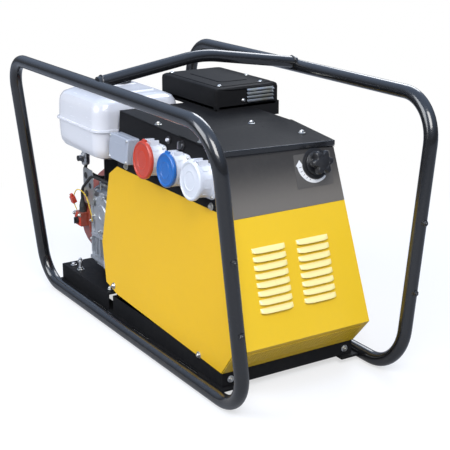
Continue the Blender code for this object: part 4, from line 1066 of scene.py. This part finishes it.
bm = bmesh.new()
corners = [(leaf["bendX"], topLow.y + 0.0005), (topHigh.x, topLow.y + 0.0005),
           (topHigh.x, topHigh.y - 0.0005), (leaf["bendX"], topHigh.y - 0.0005)]
addLoft(bm, [[(x, y, leafZ(x, y) + lift) for x, y in corners] for lift in (-leaf["sheet"], 0)], Matrix.Identity(4))
place(bm, "top_cover_front", "coverBlack", slot="cover_black", width=0.0003)
bm = bmesh.new()
addLoft(bm, [[(topHigh.x + out, y, leafZ(topHigh.x, y) + up)
              for out, up in ((-0.0016, -leaf["lip"]), (0.0006, -leaf["lip"]), (0.0006, -0.0010), (-0.0004, 0.0003),
                              (-0.0016, 0.0003))] for y in (topLow.y + 0.0005, topHigh.y - 0.0005)],
        Matrix.Identity(4))
place(bm, "top_cover_lip", "frameEnamel", slot="cover_black", width=0.0004)
print("exhaust cover made")


# fuel tank

tank = {"seamHeight": 0.074, "rim": 0.005}
low = Vector((tankLow.x + tank["rim"], tankLow.y + tank["rim"], tankFloor))
high = Vector((tankHigh.x - tank["rim"], tankHigh.y - tank["rim"], tankHigh.z - 0.008))
centre = (low + high) / 2
spanX = high.x - low.x
spanY = high.y - low.y
tall = high.z - low.z
rings = []
for share in range(15):
    rise = share / 14
    lift = low.z + tall * rise
    edge = 0.030
    fromEnd = min(lift - low.z, high.z - lift)
    tuck = edge - math.sqrt(max(0.0, edge ** 2 - (edge - min(edge, fromEnd)) ** 2))
    bulge = 0.0012 * math.sin(math.pi * rise)
    draft = 0.0040 * abs(lift - low.z - tank["seamHeight"]) / tall
    rings.append([(centre.x + x, centre.y + y, lift) for x, y in
                  roundedRectangle(spanX - 2 * (tuck + draft - bulge) - 0.003,
                                   spanY - 2 * (tuck + draft - bulge) - 0.003,
                                   max(0.012, 0.034 - tuck * 0.3), 10)])
bm = bmesh.new()
addLoft(bm, rings, Matrix.Identity(4))
seamZ2 = low.z + tank["seamHeight"]
for k, (grow, start, end) in enumerate(((tank["rim"] - 0.0004, 0.0, 0.0024), (tank["rim"] - 0.0014, 0.0024, 0.0048))):
    addLoft(bm, [[(centre.x + x, centre.y + y, z) for x, y in
                  roundedRectangle(spanX + 2 * grow, spanY + 2 * grow, 0.036, 10)]
                 for z in (seamZ2 + start, seamZ2 + end)], Matrix.Identity(4))
for sx in (-1, 1):
    addLoft(bm, [[(centre.x + sx * 0.048 + x, centre.y + y, z) for x, y in
                  roundedRectangle(0.030 - a, spanY * 0.66 - a, 0.012, 6)]
                 for a, z in ((0, high.z - 0.004), (0.002, high.z + 0.0012), (0.007, high.z + 0.0022))],
            Matrix.Identity(4))
capSpot = Vector(joints["cap_turn"]["pos_m"])
addLathe(bm, [(0, 0), (0.0245, 0), (0.0245, 0.0090), (0.0225, 0.0095), (0, 0.0095)],
         Matrix.Translation((capSpot.x, capSpot.y, high.z - 0.0015)), 48)
place(bm, "fuel_tank_shell", "tankWhite", slot="tank_white", stands=("fuel_tank",), width=0.0008)

capLow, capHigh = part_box("fuel_cap")
capPlace = Matrix.Translation((capSpot.x, capSpot.y, capLow.z))
bm = bmesh.new()
height = capHigh.z - capLow.z
addLathe(bm, [(0, 0.0078), (0.0252, 0.0078), (0.0252, 0.0004), (0.0276, 0.0002), (0.0286, 0.0014),
              (0.0286, height - 0.0060),
              (0.0270, height - 0.0022), (0.0236, height - 0.0008), (0.0200, height - 0.0016),
              (0.0120, height - 0.0020),
              (0.0, height - 0.0018)], capPlace, 72)
addPlate(bm, roundedRectangle(0.0400, 0.0075, 0.0034, 6), capPlace, height - 0.0030, height - 0.0001)
for k in range(30):
    addBox(bm, (0.0280, -0.0011, 0.0022), (0.0297, 0.0011, height - 0.0066),
           capPlace @ Matrix.Rotation(math.tau * k / 30, 4, "Z"))
place(bm, "fuel_cap_ribbed", "blackPlastic", "fuel_cap", "black_plastic", ("fuel_cap",), 0.0004)

valve = Vector(joints["fuel_lever_turn"]["pos_m"])
stubPlace = basis((valve.x, valve.y + 0.019, valve.z), (1, 0, 0), (0, 0, 1))
bowlPlace = Matrix.Translation((valve.x, valve.y + 0.018 + 0.0003, tankFloor))
bm = bmesh.new()
addLathe(bm, [(0, 0.006), (0.0105, 0.006), (0.0105, -0.0040), (0.0085, -0.0050), (0.0085, -0.0180), (0.0108, -0.0190),
              (0.0108, -0.0275), (0, -0.0275)], bowlPlace, 40)
addLathe(bm, [(0, -0.001), (0.0078, -0.001), (0.0078, 0.0150), (0.0066, 0.0186), (0, 0.0186)], stubPlace, 32)
addPlate(bm, circle(0.0118, 6), bowlPlace, -0.0080, -0.0040)
place(bm, "fuel_valve_body", "zinc", slot="cast_aluminium", width=0.0004)
bm = bmesh.new()
addLathe(bm, [(0, -0.0270), (0.0098, -0.0270), (0.0104, -0.0290), (0.0104, -0.0420), (0.0092, -0.0470),
              (0.0050, -0.0496),
              (0, -0.0500)], bowlPlace, 40)
place(bm, "fuel_filter_bowl", "steel", slot="steel", width=0.0003)
print("tank made")


# engine dressing

caseLow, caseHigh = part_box("crankcase")
shaftZ = joints["engine_spin"]["pos_m"][2]
engineBolts = []
nearPlace = basis(((caseLow.x + caseHigh.x) / 2, caseLow.y, shaftZ), (1, 0, 0), (0, 0, 1))
bm = bmesh.new()
boss = nearPlace @ Matrix.Translation((-0.012, 0.034, 0))
addLathe(bm, [(0, -0.002), (0.048, -0.002), (0.048, 0.0030), (0.0455, 0.0052), (0.0400, 0.0056), (0.0380, 0.0046),
              (0.0260, 0.0046), (0.0235, 0.0070), (0.0120, 0.0078), (0.0105, 0.0060), (0, 0.0060)], boss, 72)
for k in range(6):
    turn = math.tau * k / 6 + 0.3
    lug = boss @ Matrix.Translation((0.0460 * math.cos(turn), 0.0460 * math.sin(turn), 0))
    addLathe(bm, [(0, -0.002), (0.0074, -0.002), (0.0074, 0.0048), (0.0066, 0.0056), (0, 0.0056)], lug, 24)
    engineBolts.append(onto(lug, 0, 0, 0.0056))
for k, x in enumerate((-0.071, -0.048, -0.026, -0.004, 0.018, 0.040, 0.062)):
    addPlate(bm, roundedRectangle(0.0044, 0.052 - 0.004 * abs(k - 3), 0.0018, 3, x, -0.056), nearPlace, -0.002,
             0.0066)
addPlate(bm, roundedRectangle(0.152, 0.0070, 0.0030, 4, 0, -0.0285), nearPlace, -0.002, 0.0054)
addPlate(bm, roundedRectangle(0.152, 0.0090, 0.0030, 4, 0, -0.0880), nearPlace, -0.002, 0.0090)
place(bm, "crankcase_side_casting", "aluminium", slot="cast_aluminium", width=0.0008)

bm = bmesh.new()
for face, y in ((caseLow.x + 0.006, 0), (caseHigh.x - 0.006, 0)):
    ring = [(face, point[0], point[1]) for point in
            roundedRectangle(caseHigh.y - caseLow.y - 0.012, caseHigh.z - caseLow.z - 0.010, 0.024, 8,
                             (caseLow.y + caseHigh.y) / 2, (caseLow.z + caseHigh.z) / 2)]
    addTube(bm, ring, 0.0074, 12, True)
place(bm, "crankcase_flange_ribs", "aluminium", slot="cast_aluminium")
for x in (caseLow.x + 0.008, caseHigh.x - 0.008):
    for z in (0.102, 0.150, 0.198, 0.246):
        engineBolts.append((Vector((x, caseLow.y - 0.0016, z)), Vector((0, -1, 0))))

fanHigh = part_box("fan_cover")[1]
fan = {"radius": 0.134}
bm = bmesh.new()
for k in range(7):
    turn = math.radians(-130 + k * 52)
    tab = basis((fanHigh.x - 0.009, fan["radius"] * math.cos(turn), shaftZ + fan["radius"] * math.sin(turn)),
                (1, 0, 0), (0, -math.sin(turn), math.cos(turn)))
    if math.cos(turn) > -0.95:
        addPlate(bm, roundedRectangle(0.018, 0.020, 0.004, 4), tab, -0.004, 0.0022)
        engineBolts.append(onto(tab, 0, 0, 0.0022))
ring = [(fanHigh.x - 0.0030, y, shaftZ + z) for y, z in circle(fan["radius"], 96)]
addTube(bm, ring, 0.0026, 10, True)
place(bm, "fan_cover_flange", "fanRed", slot="fan_red", width=0.0004)

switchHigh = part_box("engine_switch")[1]
bm = bmesh.new()
switchPlace = basis((joints["switch_turn"]["pos_m"][0], switchHigh.y + 0.0004, shaftZ + 0.003), (1, 0, 0), (0, 0, 1))
addPlate(bm, roundedRectangle(0.0340, 0.0320, 0.003, 5), switchPlace, -0.0030, 0.0016)
place(bm, "switch_bezel_plate", "redPlastic", slot="red_plastic", width=0.0004)
engineBolts.append(onto(switchPlace, 0.0135, 0.0128, 0.0016))
engineBolts.append(onto(switchPlace, -0.0135, 0.0128, 0.0016))

# recoil starter: ribbed shell, vent ring and rope grip
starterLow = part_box("starter_housing")[0]
refined("starter_housing", "blackPlastic", 0.0008)
bm = bmesh.new()
addBox(bm, (0.030, -0.0024, -0.0006), (0.070, 0.0024, 0.0016))
starterFace = basis((starterLow.x + 0.0046, 0, shaftZ), (0, -1, 0), (0, 0, 1))
repeat("starter_ribs", "ring", bm, "blackPlastic", starterFace, {"Count": 18, "Radius": 0.004})
bm = bmesh.new()
addLathe(bm, [(0, 0.0), (0.0205, 0.0), (0.0205, 0.0030), (0.0190, 0.0046), (0.0080, 0.0050), (0, 0.0050)],
         basis((starterLow.x + 0.0016, 0, shaftZ), (0, -1, 0), (0, 0, 1)), 56)
place(bm, "starter_centre_cap", "zinc", slot="steel")
for k in range(4):
    turn = math.tau * k / 4 + 0.6
    engineBolts.append((Vector((starterLow.x + 0.0070, 0.079 * math.cos(turn), shaftZ + 0.079 * math.sin(turn))),
                        Vector((-1, 0, 0))))
gripLow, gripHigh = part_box("starter_handle")
gripX = (gripLow.x + gripHigh.x) / 2
gripZ = (gripLow.z + gripHigh.z) / 2
bm = bmesh.new()
gripY = gripLow.y + 0.0076
levels = [(0.0030, -0.0355), (0.0060, -0.0350), (0.0074, -0.0325), (0.0070, -0.0200), (0.0074, -0.0080),
          (0.0075, 0.0),
          (0.0074, 0.0080), (0.0070, 0.0200), (0.0074, 0.0325), (0.0060, 0.0350), (0.0030, 0.0355)]
addLathe(bm, [(0, -0.0355), *levels, (0, 0.0355)], Matrix.Translation((gripX, gripY, gripZ)), 32)
addLathe(bm, [(0, 0.0), (0.0096, 0.0), (0.0090, 0.0060), (0.0060, 0.0155), (0, 0.0160)],
         basis((gripX, gripY - 0.0035, gripZ), (1, 0, 0), (0, 0, -1)), 32)
place(bm, "starter_grip", "rubber", "starter_handle", "rubber", ("starter_handle",), 0.0004)
bm = bmesh.new()
addTube(bm, [(gripX, gripY + 0.004 + 0.002 * k, gripZ) for k in range(0, int((gripHigh.y - gripY - 0.006) / 0.002))],
        lambda share: 0.0024 + 0.00015 * math.sin(share * 260), 12)
place(bm, "starter_rope", "whitePlastic", "starter_handle", "rubber")
eye = basis((gripX, -math.sqrt(0.092 ** 2 - (gripZ - shaftZ) ** 2) - 0.001, gripZ), (1, 0, 0), (0, 0, 1))
bm = bmesh.new()
addLathe(bm, [(0.0034, -0.004), (0.0075, -0.004), (0.0075, 0.0004), (0.0060, 0.0016), (0.0044, 0.0016),
              (0.0034, 0.0006)],
         eye, 32)
place(bm, "starter_rope_eye", "zinc", slot="steel")

# cable from the switch box to the housing, with its boot and gland, and a thin wire beside it with its connector
cable = {"radius": 0.0040, "boot": 0.0092}
cableLow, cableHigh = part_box("engine_cable")
switchX = joints["switch_turn"]["pos_m"][0]
cableY = cableLow.y + cable["radius"]
wallX = cableHigh.x
corners = [(switchX, cableY, cableLow.z), (switchX, cableY, shaftZ + 0.080),
           (switchX + 0.060, cableY, shaftZ + 0.126),
           (wallX - 0.035 + 0.0018, cableY + 0.034, shaftZ + 0.112), (wallX, cableY + 0.034, shaftZ + 0.112)]
bm = bmesh.new()
addTube(bm, roundedPath(corners, (0, 0.030, 0.030, 0.030, 0), 12), cable["radius"], 20)
place(bm, "engine_cable_sheath", "rubber", slot="rubber", stands=("engine_cable",))
bm = bmesh.new()
bootPlace = Matrix.Translation((switchX, cableY, cableLow.z))
addLathe(bm, [(0.0040, -0.0006), (0.0100, -0.0006), (cable["boot"], 0.004), (0.0086, 0.012), (0.0092, 0.014),
              (0.0080, 0.0165),
              (0.0084, 0.0185), (0.0072, 0.021), (0.0076, 0.023), (0.0062, 0.027), (0.0050, 0.032), (0.0040, 0.032)],
         bootPlace, 40)
glandPlace = basis((wallX, cableY + 0.034, shaftZ + 0.112), (0, -1, 0), (0, 0, 1))
addLathe(bm, [(0.0040, 0.0004), (0.0105, 0.0004), (0.0105, 0.0044), (0.0082, 0.0060), (0.0062, 0.0130),
              (0.0040, 0.0136)],
         glandPlace, 40)
place(bm, "cable_boot_and_gland", "rubber", slot="rubber")
bm = bmesh.new()
route = [(switchX - 0.014, caseLow.y - 0.020, shaftZ + 0.022), (switchX - 0.019, caseLow.y - 0.026, shaftZ + 0.050),
         (switchX - 0.004, caseLow.y - 0.022, shaftZ + 0.078), (switchX + 0.020, caseLow.y - 0.012, shaftZ + 0.070),
         (switchX + 0.044, caseLow.y - 0.010, shaftZ + 0.036), (switchX + 0.050, caseLow.y - 0.008, shaftZ + 0.006)]
addTube(bm, smoothPath(route, 10), 0.0013, 10)
place(bm, "yellow_stop_wire", "wireYellow", slot="side_yellow")
bm = bmesh.new()
plugPlace = basis(route[1], (1, 0, 0), (0, -0.35, 1))
addPlate(bm, roundedRectangle(0.015, 0.019, 0.003, 4), plugPlace, -0.005, 0.006)
addPlate(bm, roundedRectangle(0.010, 0.008, 0.002, 4, 0, 0.012), plugPlace, -0.003, 0.004)
place(bm, "wire_connector", "redPlastic", slot="red_plastic", width=0.0008)
hose = [(valve.x, valve.y + 0.0183, tankFloor - 0.049), (valve.x, valve.y + 0.0210, tankFloor - 0.062),
        (valve.x + 0.006, valve.y + 0.060, tankFloor - 0.086), (valve.x + 0.008, -0.02, caseHigh.z + 0.030),
        (valve.x + 0.008, 0.060, caseHigh.z + 0.024), (valve.x + 0.016, 0.098, caseHigh.z + 0.012),
        (valve.x + 0.020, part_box("carburettor")[0].y - 0.0005, caseHigh.z + 0.006)]
bm = bmesh.new()
addTube(bm, smoothPath(hose, 10), 0.0042, 18)
place(bm, "fuel_hose", "rubber", slot="rubber")

# governor spring and its two posts on top of the crankcase
bm = bmesh.new()
coil = []
start = Vector((caseLow.x + 0.040, -0.118, caseHigh.z + 0.016))
end = Vector((caseLow.x + 0.112, -0.116, caseHigh.z + 0.016))
for k in range(15 * 12 + 1):
    share = k / (15 * 12)
    turn = math.tau * k / 12
    coil.append(start.lerp(end, share) + Vector((0, math.cos(turn), math.sin(turn))) * 0.0042)
addTube(bm, coil, 0.0007, 7)
for post in (start, end):
    addLathe(bm, [(0, 0), (0.0040, 0), (0.0040, 0.0120), (0.0030, 0.0135), (0.0030, 0.0210), (0, 0.0215)],
             Matrix.Translation((post.x, post.y, caseHigh.z - 0.0006)), 20)
place(bm, "governor_spring", "zinc", slot="steel")

# air cleaner cover ribs and wing nut, and a muffler shell seam
cleanerLow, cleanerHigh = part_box("air_cleaner")
cleanerMiddle = (cleanerLow + cleanerHigh) / 2
bm = bmesh.new()
cleanerFace = basis((cleanerLow.x, cleanerMiddle.y, cleanerMiddle.z), (0, -1, 0), (0, 0, 1))
for k in range(5):
    addPlate(bm, roundedRectangle(0.070 - 0.004 * abs(k - 2), 0.0052, 0.0025, 4, 0, (k - 2) * 0.0165), cleanerFace,
             -0.0030, 0.0016)
ring = [(x, y, cleanerLow.z + 0.034) for x, y in roundedRectangle(0.1126, 0.1126, 0.0165, 8, cleanerMiddle.x,
                                                                  cleanerMiddle.y)]
addTube(bm, ring, 0.0022, 10, True)
place(bm, "air_cleaner_ribs", "blackPlastic", slot="black_plastic", width=0.0004)
bm = bmesh.new()
knurl = Matrix.Translation((cleanerMiddle.x, cleanerMiddle.y, cleanerHigh.z - 0.001))
addLathe(bm, [(0, 0), (0.0090, 0), (0.0090, 0.0040), (0.0046, 0.0060), (0.0046, 0.0120), (0, 0.0125)], knurl, 28)
addPlate(bm, roundedRectangle(0.030, 0.0042, 0.0020, 5), knurl @ Matrix.Rotation(math.pi / 2, 4, "X"), -0.0020,
         0.0020)
place(bm, "air_cleaner_wing_nut", "zinc", slot="steel", width=0.0004)
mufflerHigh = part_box("muffler")[1]
ring = [(x, y, mufflerHigh.z - 0.044) for x, y in
        roundedRectangle(mufflerHigh.x + 0.258, 0.1206, 0.018, 8, (mufflerHigh.x - 0.258) / 2, 0.135)]
bm = bmesh.new()
addTube(bm, ring, 0.0028, 12, True)
place(bm, "muffler_seam", "hotIron", slot="dark_iron")
# near side: sheet shield beside the crankcase, and a tall stud on the bridge
bm = bmesh.new()
shield = basis((caseLow.x + 0.014, caseLow.y - 0.0090, shaftZ + 0.094), (1, 0, 0), (0, 0, 1))
addPlate(bm, roundedRectangle(0.056, 0.092, 0.008, 6), shield, -0.0006, 0.0008)
addPlate(bm, roundedRectangle(0.012, 0.016, 0.002, 3, 0.018, -0.030), shield, -0.0095, 0.0006)
place(bm, "engine_side_shield", "zinc", slot="steel", width=0.0006)
# dark rubber discs on the shield where its holes are: painted shade of the holes
bm = bmesh.new()
for x, y, radius in ((-0.012, 0.026, 0.0085), (0.010, 0.004, 0.0070), (-0.010, -0.020, 0.0085)):
    addLathe(bm, [(0, 0.0009), (radius, 0.0009), (radius, 0.0016), (radius * 0.8, 0.0018), (0, 0.0012)],
             shield @ Matrix.Translation((x, y, 0)), 28)
place(bm, "shield_holes", "rubber", slot="rubber")
bm = bmesh.new()
studPlace = Matrix.Translation((caseLow.x - 0.030, -0.150, bridgeTop))
addLathe(bm, [(0, -0.0006), (0.0095, -0.0006), (0.0095, 0.0014), (0.0045, 0.0016), (0.0042, 0.0300), (0.0034, 0.0310),
              (0, 0.0310)], studPlace, 20)
for start in (0.0014, 0.0200):
    addPlate(bm, circle(0.0072, 6), studPlace, start, start + 0.0052)
place(bm, "bridge_stud", "zinc", slot="steel", width=0.0003)
print("engine dressed")


# bolts, screws and rivets

surfaces = {}


def touch(node, origin, way):
    # where a ray from outside first meets a node, and the surface's outward way there
    if node not in surfaces:
        mesh = frame["nodes"][node].data
        surfaces[node] = BVHTree.FromPolygons([vertex.co for vertex in mesh.vertices],
                                              [tuple(face.vertices) for face in mesh.polygons])
    point, normal = surfaces[node].ray_cast(Vector(origin), Vector(way).normalized())[:2]
    if point is None:
        raise ValueError("no surface of " + node + " at " + str(tuple(origin)))
    return point, normal if normal.dot(Vector(way)) < 0 else -normal


def hexBolt(radius=0.0055, tall=0.0042, washer=0.0080):
    bm = bmesh.new()
    addLathe(bm, [(0, -0.0006), (washer, -0.0006), (washer, 0.0008), (washer - 0.0006, 0.0012), (0, 0.0012)],
             Matrix.Identity(4), 24)
    rings = [[(x, y, z) for x, y in circle(size, 6)] for size, z in
             ((radius * 0.97, 0.0012), (radius, 0.0016), (radius, tall), (radius * 0.90, tall + 0.0007))]
    addLoft(bm, rings, Matrix.Identity(4))
    addLathe(bm, [(0, tall), (radius * 0.55, tall), (radius * 0.55, tall + 0.0016), (radius * 0.42, tall + 0.0024),
                  (0, tall + 0.0024)], Matrix.Identity(4), 16)
    return bm


def panScrew(radius=0.0036):
    # domed head with a cross recess
    bm = bmesh.new()
    addLathe(bm, [(0, -0.0004), (radius, -0.0004), (radius, 0.0006), (radius * 0.86, 0.0016), (radius * 0.55, 0.0022),
                  (0, 0.0024)], Matrix.Identity(4), 20)
    for turn in (0, math.pi / 2):
        addBox(bm, (-radius * 0.55, -radius * 0.09, 0.0019), (radius * 0.55, radius * 0.09, 0.0026),
               Matrix.Rotation(turn, 4, "Z"))
    return bm


def domeRivet(radius=0.0042):
    bm = bmesh.new()
    addLathe(bm, [(0, -0.0004), (radius, -0.0004), (radius, 0.0004), (radius * 0.80, 0.0018), (radius * 0.42, 0.0027),
                  (0, 0.0030)], Matrix.Identity(4), 20)
    return bm


housingBolts = []
for side, suffix in ((-1, "right"), (1, "left")):
    panel = "side_panel_" + suffix
    upper = "socket_panel" if side < 0 else "output_panel"
    for x, z in ((-0.128, 0.094), (0.262, 0.060)):
        housingBolts.append(touch(panel, (x, side, z), (0, -side, 0)))
    for x, z in ((-0.090, 0.392), (0.283, 0.389)):
        housingBolts.append(touch(upper, (x, side, z), (0, -side, 0)))
for x, y in ((0.123, 0.050), (0.030, -0.132)):
    housingBolts.append(touch("top_cover", (x, y, 1), (0, 0, -1)))
for x, y in ((0.232, 0.108), (0.212, -0.132)):
    housingBolts.append((Vector((x, y, leafZ(x, y))), Vector((0, 0, 1))))
for y in (-0.148, 0.148):
    housingBolts.append(touch("base_tray", (1, y, 0.033), (-1, 0, 0)))
repeat("housing_bolts", "studs", hexBolt(), "zinc", Matrix.Identity(4), {"Size": 1.0, "Seed": 4}, housingBolts)

coverRivets = [touch("exhaust_cover", (x, y, 1), (0, 0, -1)) for x, y in
               ((coverHigh.x - 0.020, coverLow.y + 0.022), (coverHigh.x - 0.020, coverHigh.y - 0.040),
                (coverHigh.x - 0.110, coverHigh.y - 0.020), (coverLow.x + 0.022, coverLow.y + 0.022))]
coverRivets = [(point + Vector((0, 0, 0.0012)), way) for point, way in coverRivets]
coverRivets.append(touch("exhaust_cover", (1, coverHigh.y - 0.100, coverHigh.z - 0.034), (-1, 0, 0)))
repeat("cover_rivets", "studs", domeRivet(), "zinc", Matrix.Identity(4), {"Size": 1.25, "Seed": 5}, coverRivets)

chassisBolts = []
for y in (-0.150, 0.150):
    for x in (-0.412, -0.198):
        chassisBolts.append(touch("engine_bridge", (x, y, 1), (0, 0, -1)))
for x in (-0.313, -0.192):
    for y in (-0.075, 0.075):
        chassisBolts.append((Vector((x, y, bridgeTop)), Vector((0, 0, 1))))
upright = {"heights": (0.195, 0.345)}
uprightBolts = []
for node, corners in loopCorners.items():
    foot = Vector(corners[1])
    head = Vector(corners[2])
    for z in upright["heights"]:
        point = foot.lerp(head, (z - foot.z) / (head.z - foot.z))
        way = Vector((1, 0, 0))
        uprightBolts.append((point + way * (tubes["radius"] - 0.0002), way))
repeat("chassis_bolts", "studs", hexBolt(0.0062, 0.0050, 0.0078), "zinc", Matrix.Identity(4),
       {"Size": 1.0, "Seed": 6},
       chassisBolts)
repeat("upright_bolts", "studs", hexBolt(0.0062, 0.0046, 0.0078), "frameEnamel", Matrix.Identity(4),
       {"Size": 1.0, "Seed": 9}, uprightBolts)
repeat("engine_bolts", "studs", hexBolt(0.0044, 0.0036, 0.0058), "zinc", Matrix.Identity(4), {"Size": 1.0, "Seed": 7},
       engineBolts)
repeat("socket_screws", "studs", panScrew(), "zinc", Matrix.Identity(4), {"Size": 1.0, "Seed": 8}, flangeScrews)
print("bolts made:", len(housingBolts) + len(chassisBolts) + len(engineBolts) + len(flangeScrews))


# floor, light and camera

studio = {"floorSize": 12.0, "bounce": (0.26, 0.26, 0.27), "fadeStart": 0.9, "fadeEnd": 2.2, "ambient": 0.80,
          "sky": (0.68, 0.88, 1.25),
          "horizon": (0.13, 0.135, 0.15)}

floorFinish = Finish("pale_floor")
spread = floorFinish.node("ShaderNodeVectorMath", {"operation": "LENGTH"}, {0: floorFinish.point}, "Value")
fade = floorFinish.ramp(spread, studio["fadeStart"], studio["fadeEnd"])
lightPath = floorFinish.tree.nodes.new("ShaderNodeLightPath")
seen = Wire(floorFinish, lightPath.outputs["Is Camera Ray"])
floorFinish.set(Base_Color=floorFinish.blend(seen, rgba(studio["bounce"]), rgba((0.86, 0.86, 0.87))), Roughness=0.75)
white = floorFinish.node("ShaderNodeEmission", None, {"Color": (1, 1, 1, 1), "Strength": 1.0})
mixed = floorFinish.node("ShaderNodeMixShader", None, {0: floorFinish.clamp(fade * seen + seen * 0.62),
                                                      1: Wire(floorFinish, floorFinish.shader.outputs[0]), 2: white})
floorFinish.tree.links.new(mixed.socket, floorFinish.end.inputs[0])
half = studio["floorSize"] / 2
floorMesh = bpy.data.meshes.new("floor")
floorMesh.from_pydata([(-half, -half, 0), (half, -half, 0), (half, half, 0), (-half, half, 0)], [], [(0, 1, 2, 3)])
floorMesh.materials.append(floorFinish.material)
floor = bpy.data.objects.new("floor", floorMesh)
scene.collection.objects.link(floor)

world = bpy.data.worlds.new("studio")
scene.world = world
world.use_nodes = True
nodes = world.node_tree.nodes
links = world.node_tree.links
nodes.clear()
direction = nodes.new("ShaderNodeTexCoord")
split = nodes.new("ShaderNodeSeparateXYZ")
links.new(direction.outputs["Generated"], split.inputs[0])
sky = nodes.new("ShaderNodeValToRGB")
sky.color_ramp.elements[0].position = 0.10
sky.color_ramp.elements[0].color = (*studio["horizon"], 1)
sky.color_ramp.elements[1].position = 0.80
sky.color_ramp.elements[1].color = (*studio["sky"], 1)
links.new(split.outputs[2], sky.inputs[0])
ambient = nodes.new("ShaderNodeBackground")
ambient.inputs["Strength"].default_value = studio["ambient"]
links.new(sky.outputs[0], ambient.inputs["Color"])
backdrop = nodes.new("ShaderNodeBackground")
backdrop.inputs["Color"].default_value = (1, 1, 1, 1)
rays = nodes.new("ShaderNodeLightPath")
chosen = nodes.new("ShaderNodeMixShader")
links.new(rays.outputs["Is Camera Ray"], chosen.inputs[0])
links.new(ambient.outputs[0], chosen.inputs[1])
links.new(backdrop.outputs[0], chosen.inputs[2])
finalWorld = nodes.new("ShaderNodeOutputWorld")
links.new(chosen.outputs[0], finalWorld.inputs[0])

lamps = {
    "key": {"at": (3.2, -1.2, 3.4), "size": 2.4, "power": 178, "color": (1.0, 0.985, 0.96)},
    "side": {"at": (-0.6, -3.6, 2.4), "size": 2.6, "power": 120, "color": (0.94, 0.97, 1.0)},
    "back": {"at": (-2.4, 2.8, 2.8), "size": 2.2, "power": 60, "color": (0.95, 0.97, 1.0)},
}
for name, lamp in lamps.items():
    light = bpy.data.lights.new(name, "AREA")
    light.size = lamp["size"]
    light.energy = lamp["power"]
    light.color = lamp["color"]
    holder = bpy.data.objects.new(name, light)
    holder.location = lamp["at"]
    holder.rotation_euler = (Vector((0, 0, 0.25)) - Vector(lamp["at"])).to_track_quat("-Z", "Y").to_euler()
    scene.collection.objects.link(holder)

view = {"at": (2.1565, -1.2907, 1.0348), "heading": 147.98, "down": 17.35, "roll": -0.13, "lens": 90.43}
heading = math.radians(view["heading"])
down = math.radians(view["down"])
forward = Vector((math.cos(heading) * math.cos(down), math.sin(heading) * math.cos(down), -math.sin(down)))
right = forward.cross(Vector((0, 0, 1))).normalized()
up = right.cross(forward)
roll = math.radians(view["roll"])
rolledRight = right * math.cos(roll) + up * math.sin(roll)
rolledUp = rolledRight.cross(forward)
camera = bpy.data.cameras.new("camera")
camera.lens = view["lens"]
camera.sensor_width = 36
holder = bpy.data.objects.new("camera", camera)
holder.matrix_world = (Matrix.Translation(view["at"])
                       @ Matrix((rolledRight, rolledUp, -forward)).transposed().to_4x4())
scene.collection.objects.link(holder)
scene.camera = holder
scene.view_settings.view_transform = "Standard"

print("scene ready")
